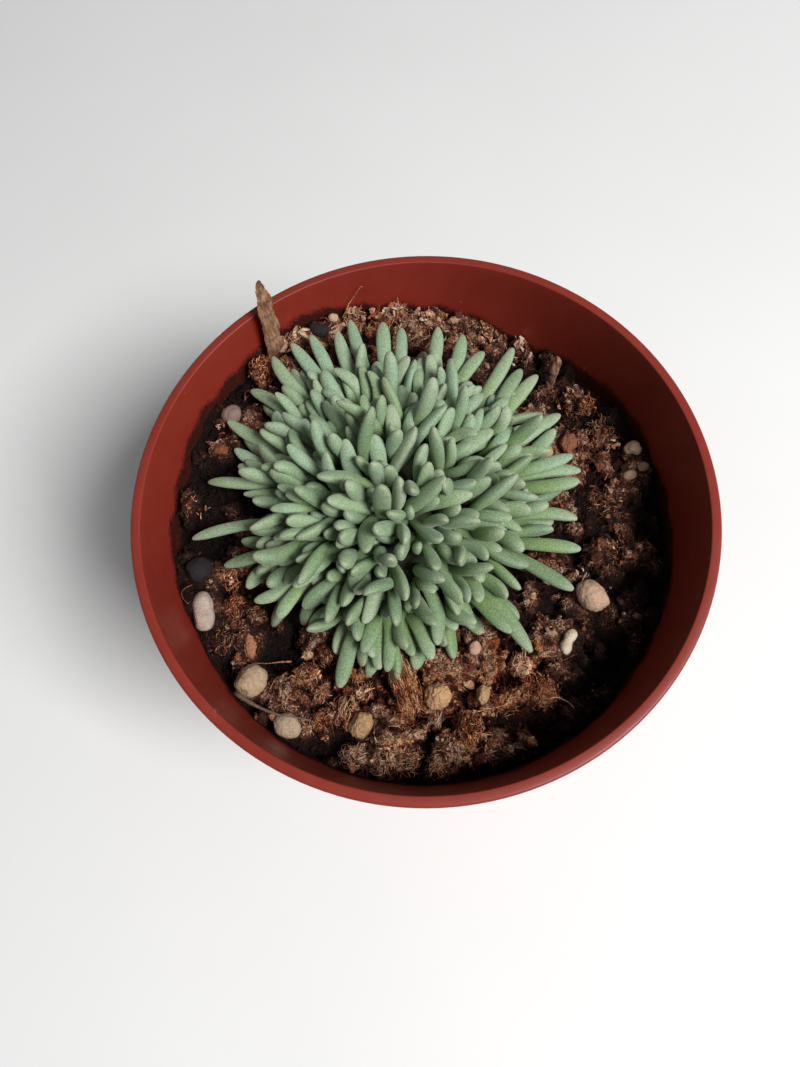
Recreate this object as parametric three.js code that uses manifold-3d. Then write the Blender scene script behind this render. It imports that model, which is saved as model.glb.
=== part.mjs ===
// A cushion-forming succulent in a round plastic pot.
// Millimetres, +Z up. The pot stands on Z = 0 and its axis is the Z axis; -Y is the front.
import * as THREE from 'three';
import { mergeVertices } from 'three/addons/utils/BufferGeometryUtils.js';
import Module from 'manifold-3d';

const wasm = await Module();
wasm.setup();

// Pot
const POT_HEIGHT = 68;
const RIM_RADIUS = 42.5;
const LIP_WIDTH = 1.5;
const WALL = 1.0;
const TAPER = 0.15;            // radius lost for each millimetre of depth
const COLLAR_DEPTH = 9;
const COLLAR_STEP = 0.8;
const FLOOR_UNDERSIDE = 1.6;   // the floor stands this high above the foot ring
const FLOOR_THICKNESS = 1.2;
const FOOT_RING_WIDTH = 3;
const RIM_ROUND = 0.6;
const FOOT_ROUND = 0.8;
const FLOOR_ROUND = 2;
const DRAIN_HOLES = 6;
const DRAIN_RADIUS = 2.6;
const DRAIN_CIRCLE = 20;
const DRAIN_SIDES = 10;
const POT_SIDES = 48;

// Soil: how far it lies under the rim in the middle, and at the wall every 30 degrees from +X
const GAP = 0.35;
const SOIL_MIDDLE_DEPTH = 12;
const SOIL_WALL_DEPTHS = [13, 12.5, 14.5, 10, 5.8, 7.5, 10, 14, 12, 10.5, 12, 13.5];
const SOIL_RINGS = 11;
const SOIL_SMOOTH = [20, 30];      // from the plant: still smooth, and fully rough
// Lumps on the soil: x, y, radius, height
const SOIL_LUMPS = [
  [-14.5, -22.6, 3.8, 1.5],
  [-19.5, -26.0, 3.2, 1.4],
  [-4.5, -33.0, 4.0, 1.3],
  [14.0, -27.0, 3.8, 1.2],
  [27.5, 2.0, 4.2, 1.4],
  [30.5, 19.0, 3.6, 1.3],
  [10.0, 36.0, 3.6, 1.3],
  [-3.0, 37.0, 3.2, 1.2],
  [-35.0, 3.0, 3.0, 1.2],
];

// Cushion: the dome on which its shoots end
const CUSHION_CENTRE = [-4.4, 3.8];
const CUSHION_REACH = [19, 20];    // of the shoot tips, along X and Y
const CROWN_DEPTH = 2.4;           // of the middle shoot's tip, under the rim
const DOME_FALL = 7.3;
const DOME_TILT = 1.0;             // higher at the back
const DOME_LEAN = 4.0;             // the top leans to the front
const DOME_POWER = 2.1;
const FOOT_RADIUS = 12;
const FOOT_DEPTH = 19;             // under the rim
const CORE_LIFT = 0.7;             // from the soil to the core's lower edge
const CORE_SIDES = 20;
const CORE_RINGS = [0, 0.42, 0.76, 1];
const CORE_EDGE_RADIUS = 18.4;
const CORE_RISE = 2.2;             // the core's top above the shoots' roots, in the middle

// Shoots and their leaf pairs, youngest first: length, width and angle from the shoot
const SHOOTS = 48;
const GOLDEN_ANGLE = 137.508;
const FIRST_ANGLE = 60;
const SHOOT_SPREAD = 0.56;         // below 1 the shoots stand closer together at the edge
const SHOOT_LEAN = 76;
const LEAF_RISE = 0.12;            // leaves turn up a little
const PAIRS = [
  { length: [3.8, 7.6], width: [1.75, 2.1], opening: 14 },
  { length: [8.0, 10.4], width: [1.95, 2.35], opening: 32 },
  { length: [10.0, 12.6], width: [2.1, 2.5], opening: 50 },
];
const LEAF_KNOTS = 8;
const LEAF_RINGS = [0.36, 0.87];
const SHORTEST_LEAF = 6.3;           // shorter ones stay inside the core
const LEAF_SLIMNESS = 0.95;        // of the modelled width, so that neighbours stay apart
const LEAF_SHAPE = [[0, 0.66], [0.12, 0.8], [0.3, 0.95], [0.52, 1], [0.72, 0.98], [0.84, 0.88],
  [0.91, 0.72], [0.96, 0.5], [0.99, 0.26], [1, 0.02]];
const SETTLE_ROUNDS = 140;
const NEIGHBOUR_REACH = 3;
const SOIL_CLEARANCE = 0.5;        // of leaves

// Tips of the outermost leaves: x, y, depth under the rim, leaf length, leaf width
const OUTER_LEAVES = [
  [-34.5, 7.0, 9.5, 13.5, 2.1],
  [-36.0, -2.5, 10.5, 14.0, 2.0],
  [-30.5, -7.0, 9.5, 10.0, 2.2],
  [-25.5, -13.0, 8.5, 10.0, 2.2],
  [-21.5, -16.0, 7.5, 11.0, 2.3],
  [-16.5, -18.0, 7.0, 9.5, 2.2],
  [-12.5, -26.5, 8.8, 13.0, 2.6],
  [-9.0, -22.0, 5.5, 10.5, 2.5],
  [-5.5, -24.5, 8.5, 10.0, 2.2],
  [-1.5, -21.5, 8.5, 8.0, 2.1],
  [1.0, -22.5, 6.5, 11.0, 2.4],
  [4.5, -18.0, 7.0, 8.0, 2.3],
  [12.5, -19.0, 5.5, 11.5, 2.4],
  [15.5, -21.5, 7.5, 13.0, 2.5],
  [22.0, -12.5, 6.5, 12.0, 2.4],
  [23.5, -6.0, 7.0, 11.0, 2.3],
  [23.5, -1.0, 7.5, 9.0, 2.2],
  [24.0, 4.5, 5.5, 11.0, 2.4],
  [24.5, 7.0, 7.5, 11.0, 2.4],
  [23.5, 9.0, 6.0, 11.0, 2.4],
  [21.0, 13.5, 5.5, 11.0, 2.5],
  [22.0, 16.5, 7.0, 10.5, 2.5],
  [19.0, 23.5, 6.0, 11.0, 2.4],
  [16.5, 24.5, 5.5, 9.5, 2.4],
  [15.0, 27.5, 4.5, 11.0, 2.4],
  [10.5, 27.5, 5.0, 9.5, 2.3],
  [7.0, 30.5, 5.0, 10.0, 2.4],
  [3.0, 31.5, 4.0, 10.5, 2.5],
  [-3.0, 32.0, 5.0, 9.5, 2.2],
  [-6.0, 32.5, 4.0, 11.0, 2.6],
  [-11.5, 33.5, 4.5, 10.5, 2.3],
  [-13.5, 31.0, 4.0, 11.0, 2.4],
  [-18.0, 30.5, 3.8, 12.0, 2.3],
  [-21.0, 29.0, 4.0, 12.0, 2.4],
  [-24.0, 27.0, 4.5, 12.0, 2.4],
  [-28.0, 22.0, 6.5, 11.0, 2.3],
  [-31.5, 17.0, 8.0, 11.5, 2.3],
  [-30.0, 12.0, 8.5, 9.5, 2.3],
];

// Loose stones and chips: name, x, y, [length, width, height], turn in degrees, share above the
// soil, colour
const STONES = [
  ['pebble_white_left', -34.2, -13.4, [6.4, 3.9, 3.6], 98, 0.62, '#cdbfae'],
  ['stone_charcoal_left', -34.9, -7.2, [4.2, 4.0, 3.4], 20, 0.6, '#26242a'],
  ['pebble_grey_back', -31.0, 18.6, [3.6, 3.4, 3.4], 0, 0.6, '#8a7670'],
  ['pebble_tan_left', -26.0, -24.4, [5.3, 4.8, 4.4], 35, 0.62, '#b39a78'],
  ['pebble_pale_left', -20.2, -31.0, [4.4, 3.4, 3.0], -28, 0.6, '#c3b193'],
  ['pebble_tan_front_left', -9.3, -30.9, [3.9, 3.6, 3.2], 40, 0.6, '#b08d62'],
  ['pebble_tan_front', 1.8, -27.0, [4.4, 3.9, 3.8], 10, 0.64, '#b18b5e'],
  ['pebble_small_front', 8.5, -26.7, [2.8, 1.9, 2.0], 80, 0.6, '#a98a63'],
  ['pebble_tan_right', 25.6, -12.1, [5.8, 4.3, 4.0], -48, 0.64, '#c2a486'],
  ['pebble_hooked_right', 21.7, -18.8, [4.3, 2.3, 2.2], 62, 0.6, '#d8cdb8'],
  ['pebble_pink_front', 7.5, -19.8, [2.3, 1.9, 1.9], 75, 0.6, '#cfae9a'],
  ['pebble_orange_front', 10.6, -14.6, [4.0, 3.2, 2.6], 65, 0.5, '#b78a58'],
  ['pebble_wall_right', 34.5, 12.9, [3.0, 2.6, 2.4], 20, 0.6, '#a3866f'],
  ['pebble_wall_right_small', 36.0, 9.9, [2.2, 1.9, 1.8], -10, 0.6, '#b59d80'],
  ['chip_orange_left', -32.4, 12.6, [3.4, 1.8, 1.5], -8, 0.55, '#8a4a26'],
  ['stone_black_back', -16.9, 33.2, [3.8, 2.4, 2.2], -22, 0.55, '#1f1d1f'],
  ['pebble_white_back', -14.6, 35.4, [1.9, 1.7, 1.6], 15, 0.6, '#d2c4b4'],
  ['pebble_tan_back', 20.3, 12.4, [2.9, 2.3, 2.2], 70, 0.55, '#b38f60'],
  ['chip_brown_back', 24.0, 13.6, [3.6, 2.8, 2.4], 80, 0.55, '#8a4f32'],
  ['chip_pink_left', -26.7, -18.6, [4.5, 1.9, 1.7], 96, 0.6, '#a8714f'],
];

// Bark: the sliver stands at the back left, the chip leans at the back right.
// Centre line from foot to tip, and the half width at each point
const SLIVER_LINE = [[-23.5, 29.4, 58], [-23.8, 29.9, 63], [-23.7, 30.5, 68], [-24.2, 31.8, 73],
  [-24.1, 31.9, 76.2]];
const SLIVER_HALF_WIDTHS = [1.2, 1.15, 0.95, 0.85, 0.35];
const SLIVER_THICKNESS = 0.8;
const CHIP_LINE = [[22.0, 25.4, 54.5], [22.4, 26.4, 57.5], [22.7, 27.8, 60.2]];
const CHIP_HALF_WIDTHS = [0.9, 1.0, 0.5];
const CHIP_THICKNESS = 1.0;

// Twig lying over the pale pebble, from its thick end
const TWIG_LINE = [[-27.8, -26.4, 57.9], [-25.0, -28.1, 58.5], [-21.5, -29.6, 59.0],
  [-18.8, -30.0, 58.6], [-16.8, -30.3, 56.6]];
const TWIG_RADIUS = 0.32;

const COLOURS = {
  pot: '#96463c',
  soil: '#3a2a22',
  cushion: '#8ca58c',
  bark: '#8a6a48',
  chip: '#8a5a38',
  twig: '#6a5a4a',
};

const rimZ = POT_HEIGHT;
const vector = (x, y, z) => new THREE.Vector3(x, y, z);
const radians = THREE.MathUtils.degToRad;

// Seeded draws
function drawer(seed) {
  let state = seed >>> 0;
  const number = () => {
    state = (state + 0x6D2B79F5) >>> 0;
    let t = state;
    t = Math.imul(t ^ (t >>> 15), t | 1);
    t ^= t + Math.imul(t ^ (t >>> 7), t | 61);
    return ((t ^ (t >>> 14)) >>> 0) / 4294967296;
  };
  return (low, high) => low + (high - low) * number();
}

// Solids to meshes and back
function solidOf(geometry) {
  const bare = geometry.clone();
  bare.deleteAttribute('normal');
  bare.deleteAttribute('uv');
  const merged = mergeVertices(bare, 1e-5);
  return new wasm.Manifold(new wasm.Mesh({
    numProp: 3,
    vertProperties: new Float32Array(merged.attributes.position.array),
    triVerts: new Uint32Array(merged.index.array),
  }));
}

function geometryOf(solid) {
  const mesh = solid.getMesh();
  const geometry = new THREE.BufferGeometry();
  geometry.setAttribute('position', new THREE.BufferAttribute(mesh.vertProperties, 3));
  geometry.setIndex(new THREE.BufferAttribute(mesh.triVerts, 1));
  geometry.computeVertexNormals();
  return geometry;
}

function geometryFrom(points, faces) {
  const geometry = new THREE.BufferGeometry();
  geometry.setAttribute('position', new THREE.Float32BufferAttribute(points.flat(), 3));
  geometry.setIndex(faces.flat());
  return geometry;
}

// Rings of points joined into one closed skin. A ring of one point is a pole.
function skin(rings) {
  const points = [];
  const starts = rings.map((ring) => {
    const start = points.length;
    ring.forEach((point) => points.push(point.toArray()));
    return start;
  });
  const faces = [];
  for (let i = 0; i + 1 < rings.length; i += 1) {
    const count = Math.max(rings[i].length, rings[i + 1].length);
    for (let j = 0; j < count; j += 1) {
      const next = (j + 1) % count;
      const a = starts[i] + (rings[i].length > 1 ? j : 0);
      const b = starts[i] + (rings[i].length > 1 ? next : 0);
      const c = starts[i + 1] + (rings[i + 1].length > 1 ? next : 0);
      const d = starts[i + 1] + (rings[i + 1].length > 1 ? j : 0);
      if (a !== b) faces.push([a, b, c]);
      if (c !== d) faces.push([a, c, d]);
    }
  }
  return geometryFrom(points, faces);
}

function makeMesh(name, geometry, colour, roughness) {
  const material = new THREE.MeshStandardMaterial({ color: colour, roughness, metalness: 0 });
  const mesh = new THREE.Mesh(geometry, material);
  mesh.name = name;
  return mesh;
}

// Pot: a turned shell with a foot ring, a collar and drain holes
const innerRadius = (z) => RIM_RADIUS - LIP_WIDTH - TAPER * (rimZ - z);

function makePot() {
  const outer = (z) => innerRadius(z) + WALL;
  const collarZ = rimZ - COLLAR_DEPTH;
  const floorTop = FLOOR_UNDERSIDE + FLOOR_THICKNESS;
  const ringInside = outer(0) - FOOT_RING_WIDTH;
  const profile = [
    [0, FLOOR_UNDERSIDE],
    [ringInside - FLOOR_UNDERSIDE, FLOOR_UNDERSIDE],
    [ringInside, 0],
    [outer(0) - FOOT_ROUND, 0],
    [outer(FOOT_ROUND), FOOT_ROUND],
    [outer(collarZ - COLLAR_STEP), collarZ - COLLAR_STEP],
    [outer(collarZ) + COLLAR_STEP, collarZ],
    [RIM_RADIUS, rimZ - RIM_ROUND],
    [RIM_RADIUS - 0.3 * RIM_ROUND, rimZ - 0.3 * RIM_ROUND],
    [RIM_RADIUS - RIM_ROUND, rimZ],
    [innerRadius(rimZ) + 0.5 * RIM_ROUND, rimZ],
    [innerRadius(rimZ - RIM_ROUND), rimZ - RIM_ROUND],
    [innerRadius(floorTop + FLOOR_ROUND), floorTop + FLOOR_ROUND],
    [innerRadius(floorTop) - FLOOR_ROUND, floorTop],
    [0, floorTop],
  ].map(([r, z]) => new THREE.Vector2(r, z));
  const shell = new THREE.LatheGeometry(profile, POT_SIDES).rotateX(Math.PI / 2);
  let solid = solidOf(shell);
  const drill = (x, y) => {
    const deep = 4 * FLOOR_THICKNESS;
    const cutter = new THREE.CylinderGeometry(DRAIN_RADIUS, DRAIN_RADIUS, deep, DRAIN_SIDES);
    const middle = FLOOR_UNDERSIDE + FLOOR_THICKNESS / 2;
    solid = solid.subtract(solidOf(cutter.rotateX(Math.PI / 2).translate(x, y, middle)));
  };
  for (let i = 0; i < DRAIN_HOLES; i += 1) {
    const turn = (2 * Math.PI * i) / DRAIN_HOLES;
    drill(DRAIN_CIRCLE * Math.cos(turn), DRAIN_CIRCLE * Math.sin(turn));
  }
  drill(0, 0);
  return geometryOf(solid);
}

// Height of the soil at a place
function soilHeight(x, y) {
  const reach = Math.hypot(x, y);
  const turn = (((Math.atan2(y, x) * 180) / Math.PI + 360) % 360) / 30;
  const sector = Math.floor(turn);
  const share = (1 - Math.cos(Math.PI * (turn - sector))) / 2;
  const count = SOIL_WALL_DEPTHS.length;
  const wallDepth = SOIL_WALL_DEPTHS[sector % count] * (1 - share)
    + SOIL_WALL_DEPTHS[(sector + 1) % count] * share;
  const out = Math.min(reach / RIM_RADIUS, 1) ** 1.5;
  const depth = SOIL_MIDDLE_DEPTH * (1 - out) + wallDepth * out;
  const fromPlant = Math.hypot(x - CUSHION_CENTRE[0], y - CUSHION_CENTRE[1]);
  const [smooth, full] = SOIL_SMOOTH;
  const rough = Math.min(Math.max((fromPlant - smooth) / (full - smooth), 0), 1);
  const waves = 0.5 * Math.sin(0.52 * x + 1.3) * Math.sin(0.47 * y + 0.4)
    + 0.35 * Math.sin(0.9 * x + 0.75 * y) + 0.25 * Math.sin(1.2 * y - 0.95 * x + 2);
  let height = rimZ - depth + waves * rough;
  for (const [lumpX, lumpY, radius, rise] of SOIL_LUMPS) {
    const away = Math.hypot(x - lumpX, y - lumpY) / radius;
    if (away < 1) height += rise * (1 - away * away) ** 1.5;
  }
  return height;
}

function makeSoil() {
  const at = (ring, side, z) => {
    const turn = (2 * Math.PI * side) / POT_SIDES;
    return vector(ring * Math.cos(turn), ring * Math.sin(turn), z);
  };
  const sides = [...Array(POT_SIDES).keys()];
  const bottom = FLOOR_UNDERSIDE + FLOOR_THICKNESS + GAP;
  const rings = [[vector(0, 0, bottom)]];
  const curveTop = bottom + FLOOR_ROUND;
  rings.push(sides.map((side) => at(innerRadius(bottom) - FLOOR_ROUND - GAP, side, bottom)));
  rings.push(sides.map((side) => at(innerRadius(curveTop) - GAP, side, curveTop)));
  for (let i = SOIL_RINGS; i > 0; i -= 1) {
    const share = (i / SOIL_RINGS) ** 0.8;     // the rings lie closer together near the wall
    rings.push(sides.map((side) => {
      const edge = at(innerRadius(rimZ - SOIL_MIDDLE_DEPTH), side, 0);
      const edgeRadius = innerRadius(soilHeight(edge.x, edge.y)) - GAP;
      const point = at(share * edgeRadius, side, 0);
      return point.setZ(soilHeight(point.x, point.y));
    }));
  }
  rings.push([vector(0, 0, soilHeight(0, 0))]);
  return solidOf(skin(rings));
}

// Cushion
function domePoint(share, turn) {
  const x = CUSHION_CENTRE[0] + CUSHION_REACH[0] * share * Math.cos(turn);
  const y = CUSHION_CENTRE[1] + CUSHION_REACH[1] * share * Math.sin(turn)
    - DOME_LEAN * (1 - share * share);
  const z = rimZ - CROWN_DEPTH - DOME_FALL * share ** DOME_POWER
    + DOME_TILT * share * Math.sin(turn);
  return vector(x, y, z);
}

function drawShootLeaves(draw) {
  const leaves = [];
  for (let i = 0; i < SHOOTS; i += 1) {
    const share = (i / (SHOOTS - 1)) ** SHOOT_SPREAD;
    const turn = radians(GOLDEN_ANGLE * i + FIRST_ANGLE) + draw(-0.2, 0.2);
    const comb = draw(0.6, 1.15);
    const away = vector(Math.cos(turn), Math.sin(turn), 0);
    const lean = radians(SHOOT_LEAN * share ** 0.8);
    const axis = away.clone().multiplyScalar(Math.sin(lean)).setZ(Math.cos(lean));
    const side = vector(axis.y, -axis.x, 0);
    if (side.length() < 0.05) side.set(1, 0, 0);
    side.normalize();
    const spin = draw(0, Math.PI);
    PAIRS.forEach((pair, order) => {
      for (let half = 0; half < 2; half += 1) {
        const replaced = share > 0.93 && order === 2 && half === 0;
        if (replaced) continue;
        const about = spin + (order * Math.PI) / 2 + half * Math.PI + draw(-0.3, 0.3);
        const outward = side.clone().applyAxisAngle(axis, about);
        const opening = radians(pair.opening + draw(-9, 9));
        const length = draw(...pair.length);
        const width = draw(...pair.width);
        const direction = axis.clone().multiplyScalar(Math.cos(opening))
          .addScaledVector(outward, Math.sin(opening))
          .addScaledVector(away, share * comb * (0.3 + 0.3 * order))
          .add(vector(0, 0, LEAF_RISE))
          .normalize();
        const bend = side.clone().applyAxisAngle(axis, draw(0, 2 * Math.PI))
          .multiplyScalar(length * draw(0.03, 0.15));
        const root = domePoint(share, turn).addScaledVector(axis, -1.0 - 0.4 * order);
        const face = axis.clone().multiplyScalar(Math.sin(opening))
          .addScaledVector(outward, -Math.cos(opening));
        const tip = root.clone().addScaledVector(direction, length);
        leaves.push({ root, tip, bend, face, halfWidth: width / 2, shoot: i });
      }
    });
  }
  return leaves;
}

function drawOuterLeaves(draw) {
  return OUTER_LEAVES.map(([x, y, depth, length, width], order) => {
    const tip = vector(x, y, rimZ - depth);
    const flat = vector(x - CUSHION_CENTRE[0], y - CUSHION_CENTRE[1], 0);
    const turn = Math.atan2(flat.y / CUSHION_REACH[1], flat.x / CUSHION_REACH[0]);
    const rim = Math.hypot(CUSHION_REACH[0] * Math.cos(turn), CUSHION_REACH[1] * Math.sin(turn));
    const share = Math.min(Math.max((flat.length() - 0.93 * length) / rim, 0.5), 0.86);
    const root = domePoint(share, turn + draw(-0.12, 0.12)).add(vector(0, 0, -0.9));
    const bend = vector(draw(-0.7, 0.7), draw(-0.7, 0.7), draw(0.2, 1.4));
    const face = vector(0, 0, 1);
    return { root, tip, bend, face, halfWidth: width / 2, shoot: -1 - order };
  });
}

function knotsOf(leaf) {
  const knots = [];
  for (let i = 0; i < LEAF_KNOTS; i += 1) {
    const t = i / (LEAF_KNOTS - 1);
    knots.push(leaf.root.clone().lerp(leaf.tip, t).addScaledVector(leaf.bend, 4 * t * (1 - t)));
  }
  return knots;
}

function shapeAt(t) {
  let i = 0;
  while (i + 2 < LEAF_SHAPE.length && LEAF_SHAPE[i + 1][0] < t) i += 1;
  const [start, low] = LEAF_SHAPE[i];
  const [end, high] = LEAF_SHAPE[i + 1];
  return low + ((high - low) * (t - start)) / (end - start);
}

// Leaves that cross are bent apart: each knot is a ball that pushes its neighbours away
function closePairs(balls) {
  const pairs = [];
  for (let i = 0; i < balls.length; i += 1) {
    for (let j = i + 1; j < balls.length; j += 1) {
      const a = balls[i];
      const b = balls[j];
      if (a.leaf === b.leaf || (a.knot <= 2 && b.knot <= 2)) continue;
      if (a.leaf.shoot === b.leaf.shoot && a.knot + b.knot <= 4) continue;
      if (a.place.distanceTo(b.place) < NEIGHBOUR_REACH) pairs.push([a, b]);
    }
  }
  return pairs;
}

function settle(leaves) {
  const balls = [];
  for (const leaf of leaves) {
    leaf.knots = knotsOf(leaf);
    leaf.home = leaf.knots.map((knot) => knot.clone());
    leaf.steps = leaf.knots.slice(1).map((knot, i) => knot.distanceTo(leaf.knots[i]));
    leaf.balls = leaf.knots.map((place, knot) => {
      const size = knot === LEAF_KNOTS - 1 ? 0.55 : shapeAt(knot / (LEAF_KNOTS - 1));
      return { leaf, knot, place, radius: leaf.halfWidth * size, shift: vector(0, 0, 0) };
    });
    balls.push(...leaf.balls);
  }
  let pairs = [];
  for (let round = 0; round < SETTLE_ROUNDS; round += 1) {
    if (round % 10 === 0) pairs = closePairs(balls);
    for (const ball of balls) ball.shift.set(0, 0, 0);
    for (const [a, b] of pairs) {
      const between = b.place.clone().sub(a.place);
      const distance = between.length() + 1e-9;
      const push = a.radius + b.radius - distance;
      if (push > 0) {
        between.multiplyScalar((0.5 * push) / distance);
        a.shift.sub(between);
        b.shift.add(between);
      }
    }
    for (const leaf of leaves) settleLeaf(leaf);
  }
}

function settleLeaf(leaf) {
  const drift = leaf.balls.map(({ place, shift }, i) => place.clone()
    .addScaledVector(shift, 0.6).sub(leaf.home[i]).multiplyScalar(0.995));
  leaf.knots.forEach((knot, i) => {
    if (i === 0) return;
    const smooth = drift[i].clone();
    if (i < LEAF_KNOTS - 1) {
      smooth.multiplyScalar(0.6).addScaledVector(drift[i - 1], 0.2)
        .addScaledVector(drift[i + 1], 0.2);
    }
    knot.copy(leaf.home[i]).add(smooth);
  });
  leaf.knots.forEach((knot, i) => {
    if (i < 2) return;
    const lowest = soilHeight(knot.x, knot.y) + leaf.balls[i].radius + SOIL_CLEARANCE;
    knot.z = Math.max(knot.z, lowest);
  });
  leaf.knots.forEach((knot, i) => {
    if (i === 0) return;
    const before = leaf.knots[i - 1];
    knot.sub(before).setLength(leaf.steps[i - 1]).add(before);
  });
}

// A leaf is a soft three-edged finger, flattest on the face that looks to its shoot
const LEAF_SECTION = [[1, 0.1], [0, -0.92], [-1, 0.1], [-0.62, 0.66], [0.62, 0.66]];

function leafGeometry(leaf) {
  const line = new THREE.CatmullRomCurve3(leaf.knots, false, 'catmullrom', 0.5);
  const rings = LEAF_RINGS.map((t) => {
    const centre = line.getPoint(t);
    const along = line.getTangent(t);
    const up = leaf.face.clone().addScaledVector(along, -leaf.face.dot(along)).normalize();
    const across = along.clone().cross(up);
    const half = LEAF_SLIMNESS * leaf.halfWidth * shapeAt(t);
    return LEAF_SECTION.map(([u, v]) => centre.clone()
      .addScaledVector(across, u * half).addScaledVector(up, v * half));
  });
  return skin([[line.getPoint(0)], ...rings, [line.getPoint(1)]]);
}

// The core of short stems under the leaves, with the foot that stands in the soil
function coreSolid(grow) {
  const rise = (share) => CORE_RISE * (1 - 0.6 * share * share);
  const sides = [...Array(CORE_SIDES).keys()].map((side) => (2 * Math.PI * side) / CORE_SIDES);
  const rings = CORE_RINGS.map((share) => {
    const turns = share === 0 ? [0] : sides;
    return turns.map((turn) => {
      const point = domePoint(share, turn);
      const out = vector(Math.cos(turn), Math.sin(turn), 0).multiplyScalar(grow * share);
      return point.add(out).add(vector(0, 0, rise(share) + grow));
    });
  });
  const edgeZ = rimZ - SOIL_MIDDLE_DEPTH + CORE_LIFT - grow;
  const footZ = rimZ - FOOT_DEPTH - grow;
  const ring = (radius, z) => sides.map((turn) => vector(
    CUSHION_CENTRE[0] + radius * Math.cos(turn),
    CUSHION_CENTRE[1] + radius * Math.sin(turn),
    z,
  ));
  rings.push(ring(CORE_EDGE_RADIUS + grow, edgeZ));
  rings.push(ring(FOOT_RADIUS + grow, edgeZ - 1));
  rings.push(ring(FOOT_RADIUS - 2 + grow, footZ));
  rings.push([vector(CUSHION_CENTRE[0], CUSHION_CENTRE[1], footZ)]);
  return solidOf(skin(rings.reverse()));
}

function makeLeaves() {
  const draw = drawer(7);
  const leaves = drawShootLeaves(draw);
  leaves.push(...drawOuterLeaves(draw));
  settle(leaves);
  return leaves;
}

function makeCushion() {
  const long = makeLeaves().filter((leaf) => leaf.root.distanceTo(leaf.tip) > SHORTEST_LEAF);
  const solids = long.map((leaf) => solidOf(leafGeometry(leaf)));
  return wasm.Manifold.union([coreSolid(0), ...solids]);
}

// Stones: uneven balls, pressed into the soil
function stoneGeometry(stone, grow) {
  const [name, x, y, [length, width, height], turn, above] = stone;
  const draw = drawer(name.length * 131 + Math.round(Math.abs(x) * 10));
  const phases = [draw(0, 6.28), draw(0, 6.28), draw(0, 6.28)];
  const big = length > 3.5;
  const ball = new THREE.SphereGeometry(1, big ? 8 : 6, big ? 6 : 5).rotateX(Math.PI / 2);
  const places = ball.attributes.position;
  const point = vector(0, 0, 0);
  for (let i = 0; i < places.count; i += 1) {
    point.fromBufferAttribute(places, i);
    const bump = 1 + 0.07 * Math.sin(3.1 * point.x + 2.2 * point.z + phases[0])
      + 0.06 * Math.sin(3.7 * point.y - 1.9 * point.x + phases[1])
      + 0.04 * Math.sin(4.3 * point.z + 2.6 * point.y + phases[2]);
    const size = vector(length / 2, width / 2, height / 2).multiplyScalar(bump);
    point.multiply(size.addScalar(grow));
    places.setXYZ(i, point.x, point.y, point.z);
  }
  const centreZ = soilHeight(x, y) + height * (above - 0.5);
  return ball.rotateZ(radians(turn)).translate(x, y, centreZ);
}

// A flat strip along a line, with a pointed tip
function stripGeometry(line, halfWidths, thickness, grow) {
  const points = line.map((place) => vector(...place));
  const rings = points.map((point, i) => {
    const tangent = points[Math.min(i + 1, points.length - 1)].clone()
      .sub(points[Math.max(i - 1, 0)]).normalize();
    const toAxis = vector(-point.x, -point.y, 0).normalize();
    const across = tangent.clone().cross(toAxis).normalize();
    const through = across.clone().cross(tangent);
    const half = halfWidths[i] + grow;
    const deep = thickness / 2 + grow;
    return [[-1, 0], [-0.5, 0.8], [0.45, 1], [1, 0.1], [0.5, -0.9], [-0.55, -1]].map(([u, v]) => point
      .clone().addScaledVector(across, u * half).addScaledVector(through, v * deep));
  });
  const start = points[0].clone().add(vector(0, 0, -0.2 - grow));
  const end = points[points.length - 1].clone().add(vector(0, 0, 0.6 + grow));
  return skin([[start], ...rings, [end]]);
}

function twigGeometry(grow) {
  const points = TWIG_LINE.map((place) => vector(...place));
  points[points.length - 1].add(vector(grow, 0, -1.5 * grow));
  const curve = new THREE.CatmullRomCurve3(points);
  const section = new THREE.Shape();
  for (let i = 0; i < 6; i += 1) {
    const turn = (Math.PI * i) / 3;
    const radius = TWIG_RADIUS + grow;
    const corner = [radius * Math.cos(turn), radius * Math.sin(turn)];
    if (i === 0) section.moveTo(...corner);
    else section.lineTo(...corner);
  }
  return new THREE.ExtrudeGeometry(section, { steps: 12, extrudePath: curve });
}

// Everything together
const group = new THREE.Group();
let soil = makeSoil().subtract(coreSolid(GAP));
const bed = (grown) => {
  soil = soil.subtract(solidOf(grown));
};
for (const stone of STONES) {
  const [name, , , , , , colour] = stone;
  group.add(makeMesh(name, geometryOf(solidOf(stoneGeometry(stone, 0))), colour, 0.85));
  bed(stoneGeometry(stone, GAP));
}
const addStrip = (name, line, halfWidths, thickness, colour) => {
  const strip = solidOf(stripGeometry(line, halfWidths, thickness, 0));
  group.add(makeMesh(name, geometryOf(strip), colour, 0.9));
  bed(stripGeometry(line, halfWidths, thickness, 2 * GAP));
};
addStrip('bark_sliver', SLIVER_LINE, SLIVER_HALF_WIDTHS, SLIVER_THICKNESS, COLOURS.bark);
addStrip('bark_chip', CHIP_LINE, CHIP_HALF_WIDTHS, CHIP_THICKNESS, COLOURS.chip);
group.add(makeMesh('twig', geometryOf(solidOf(twigGeometry(0))), COLOURS.twig, 0.9));
bed(twigGeometry(GAP));
group.add(makeMesh('pot', makePot(), COLOURS.pot, 0.45));
group.add(makeMesh('soil', geometryOf(soil), COLOURS.soil, 0.95));
group.add(makeMesh('cushion', geometryOf(makeCushion()), COLOURS.cushion, 0.6));

export default group;
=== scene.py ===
"""A cushion-forming succulent in a round plastic pot, with its soil, stones and bark.

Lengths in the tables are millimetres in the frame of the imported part: the pot stands on Z = 0,
its axis is the Z axis and -Y is the front. Finished pieces are in metres.
"""

import math
from collections import namedtuple

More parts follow.
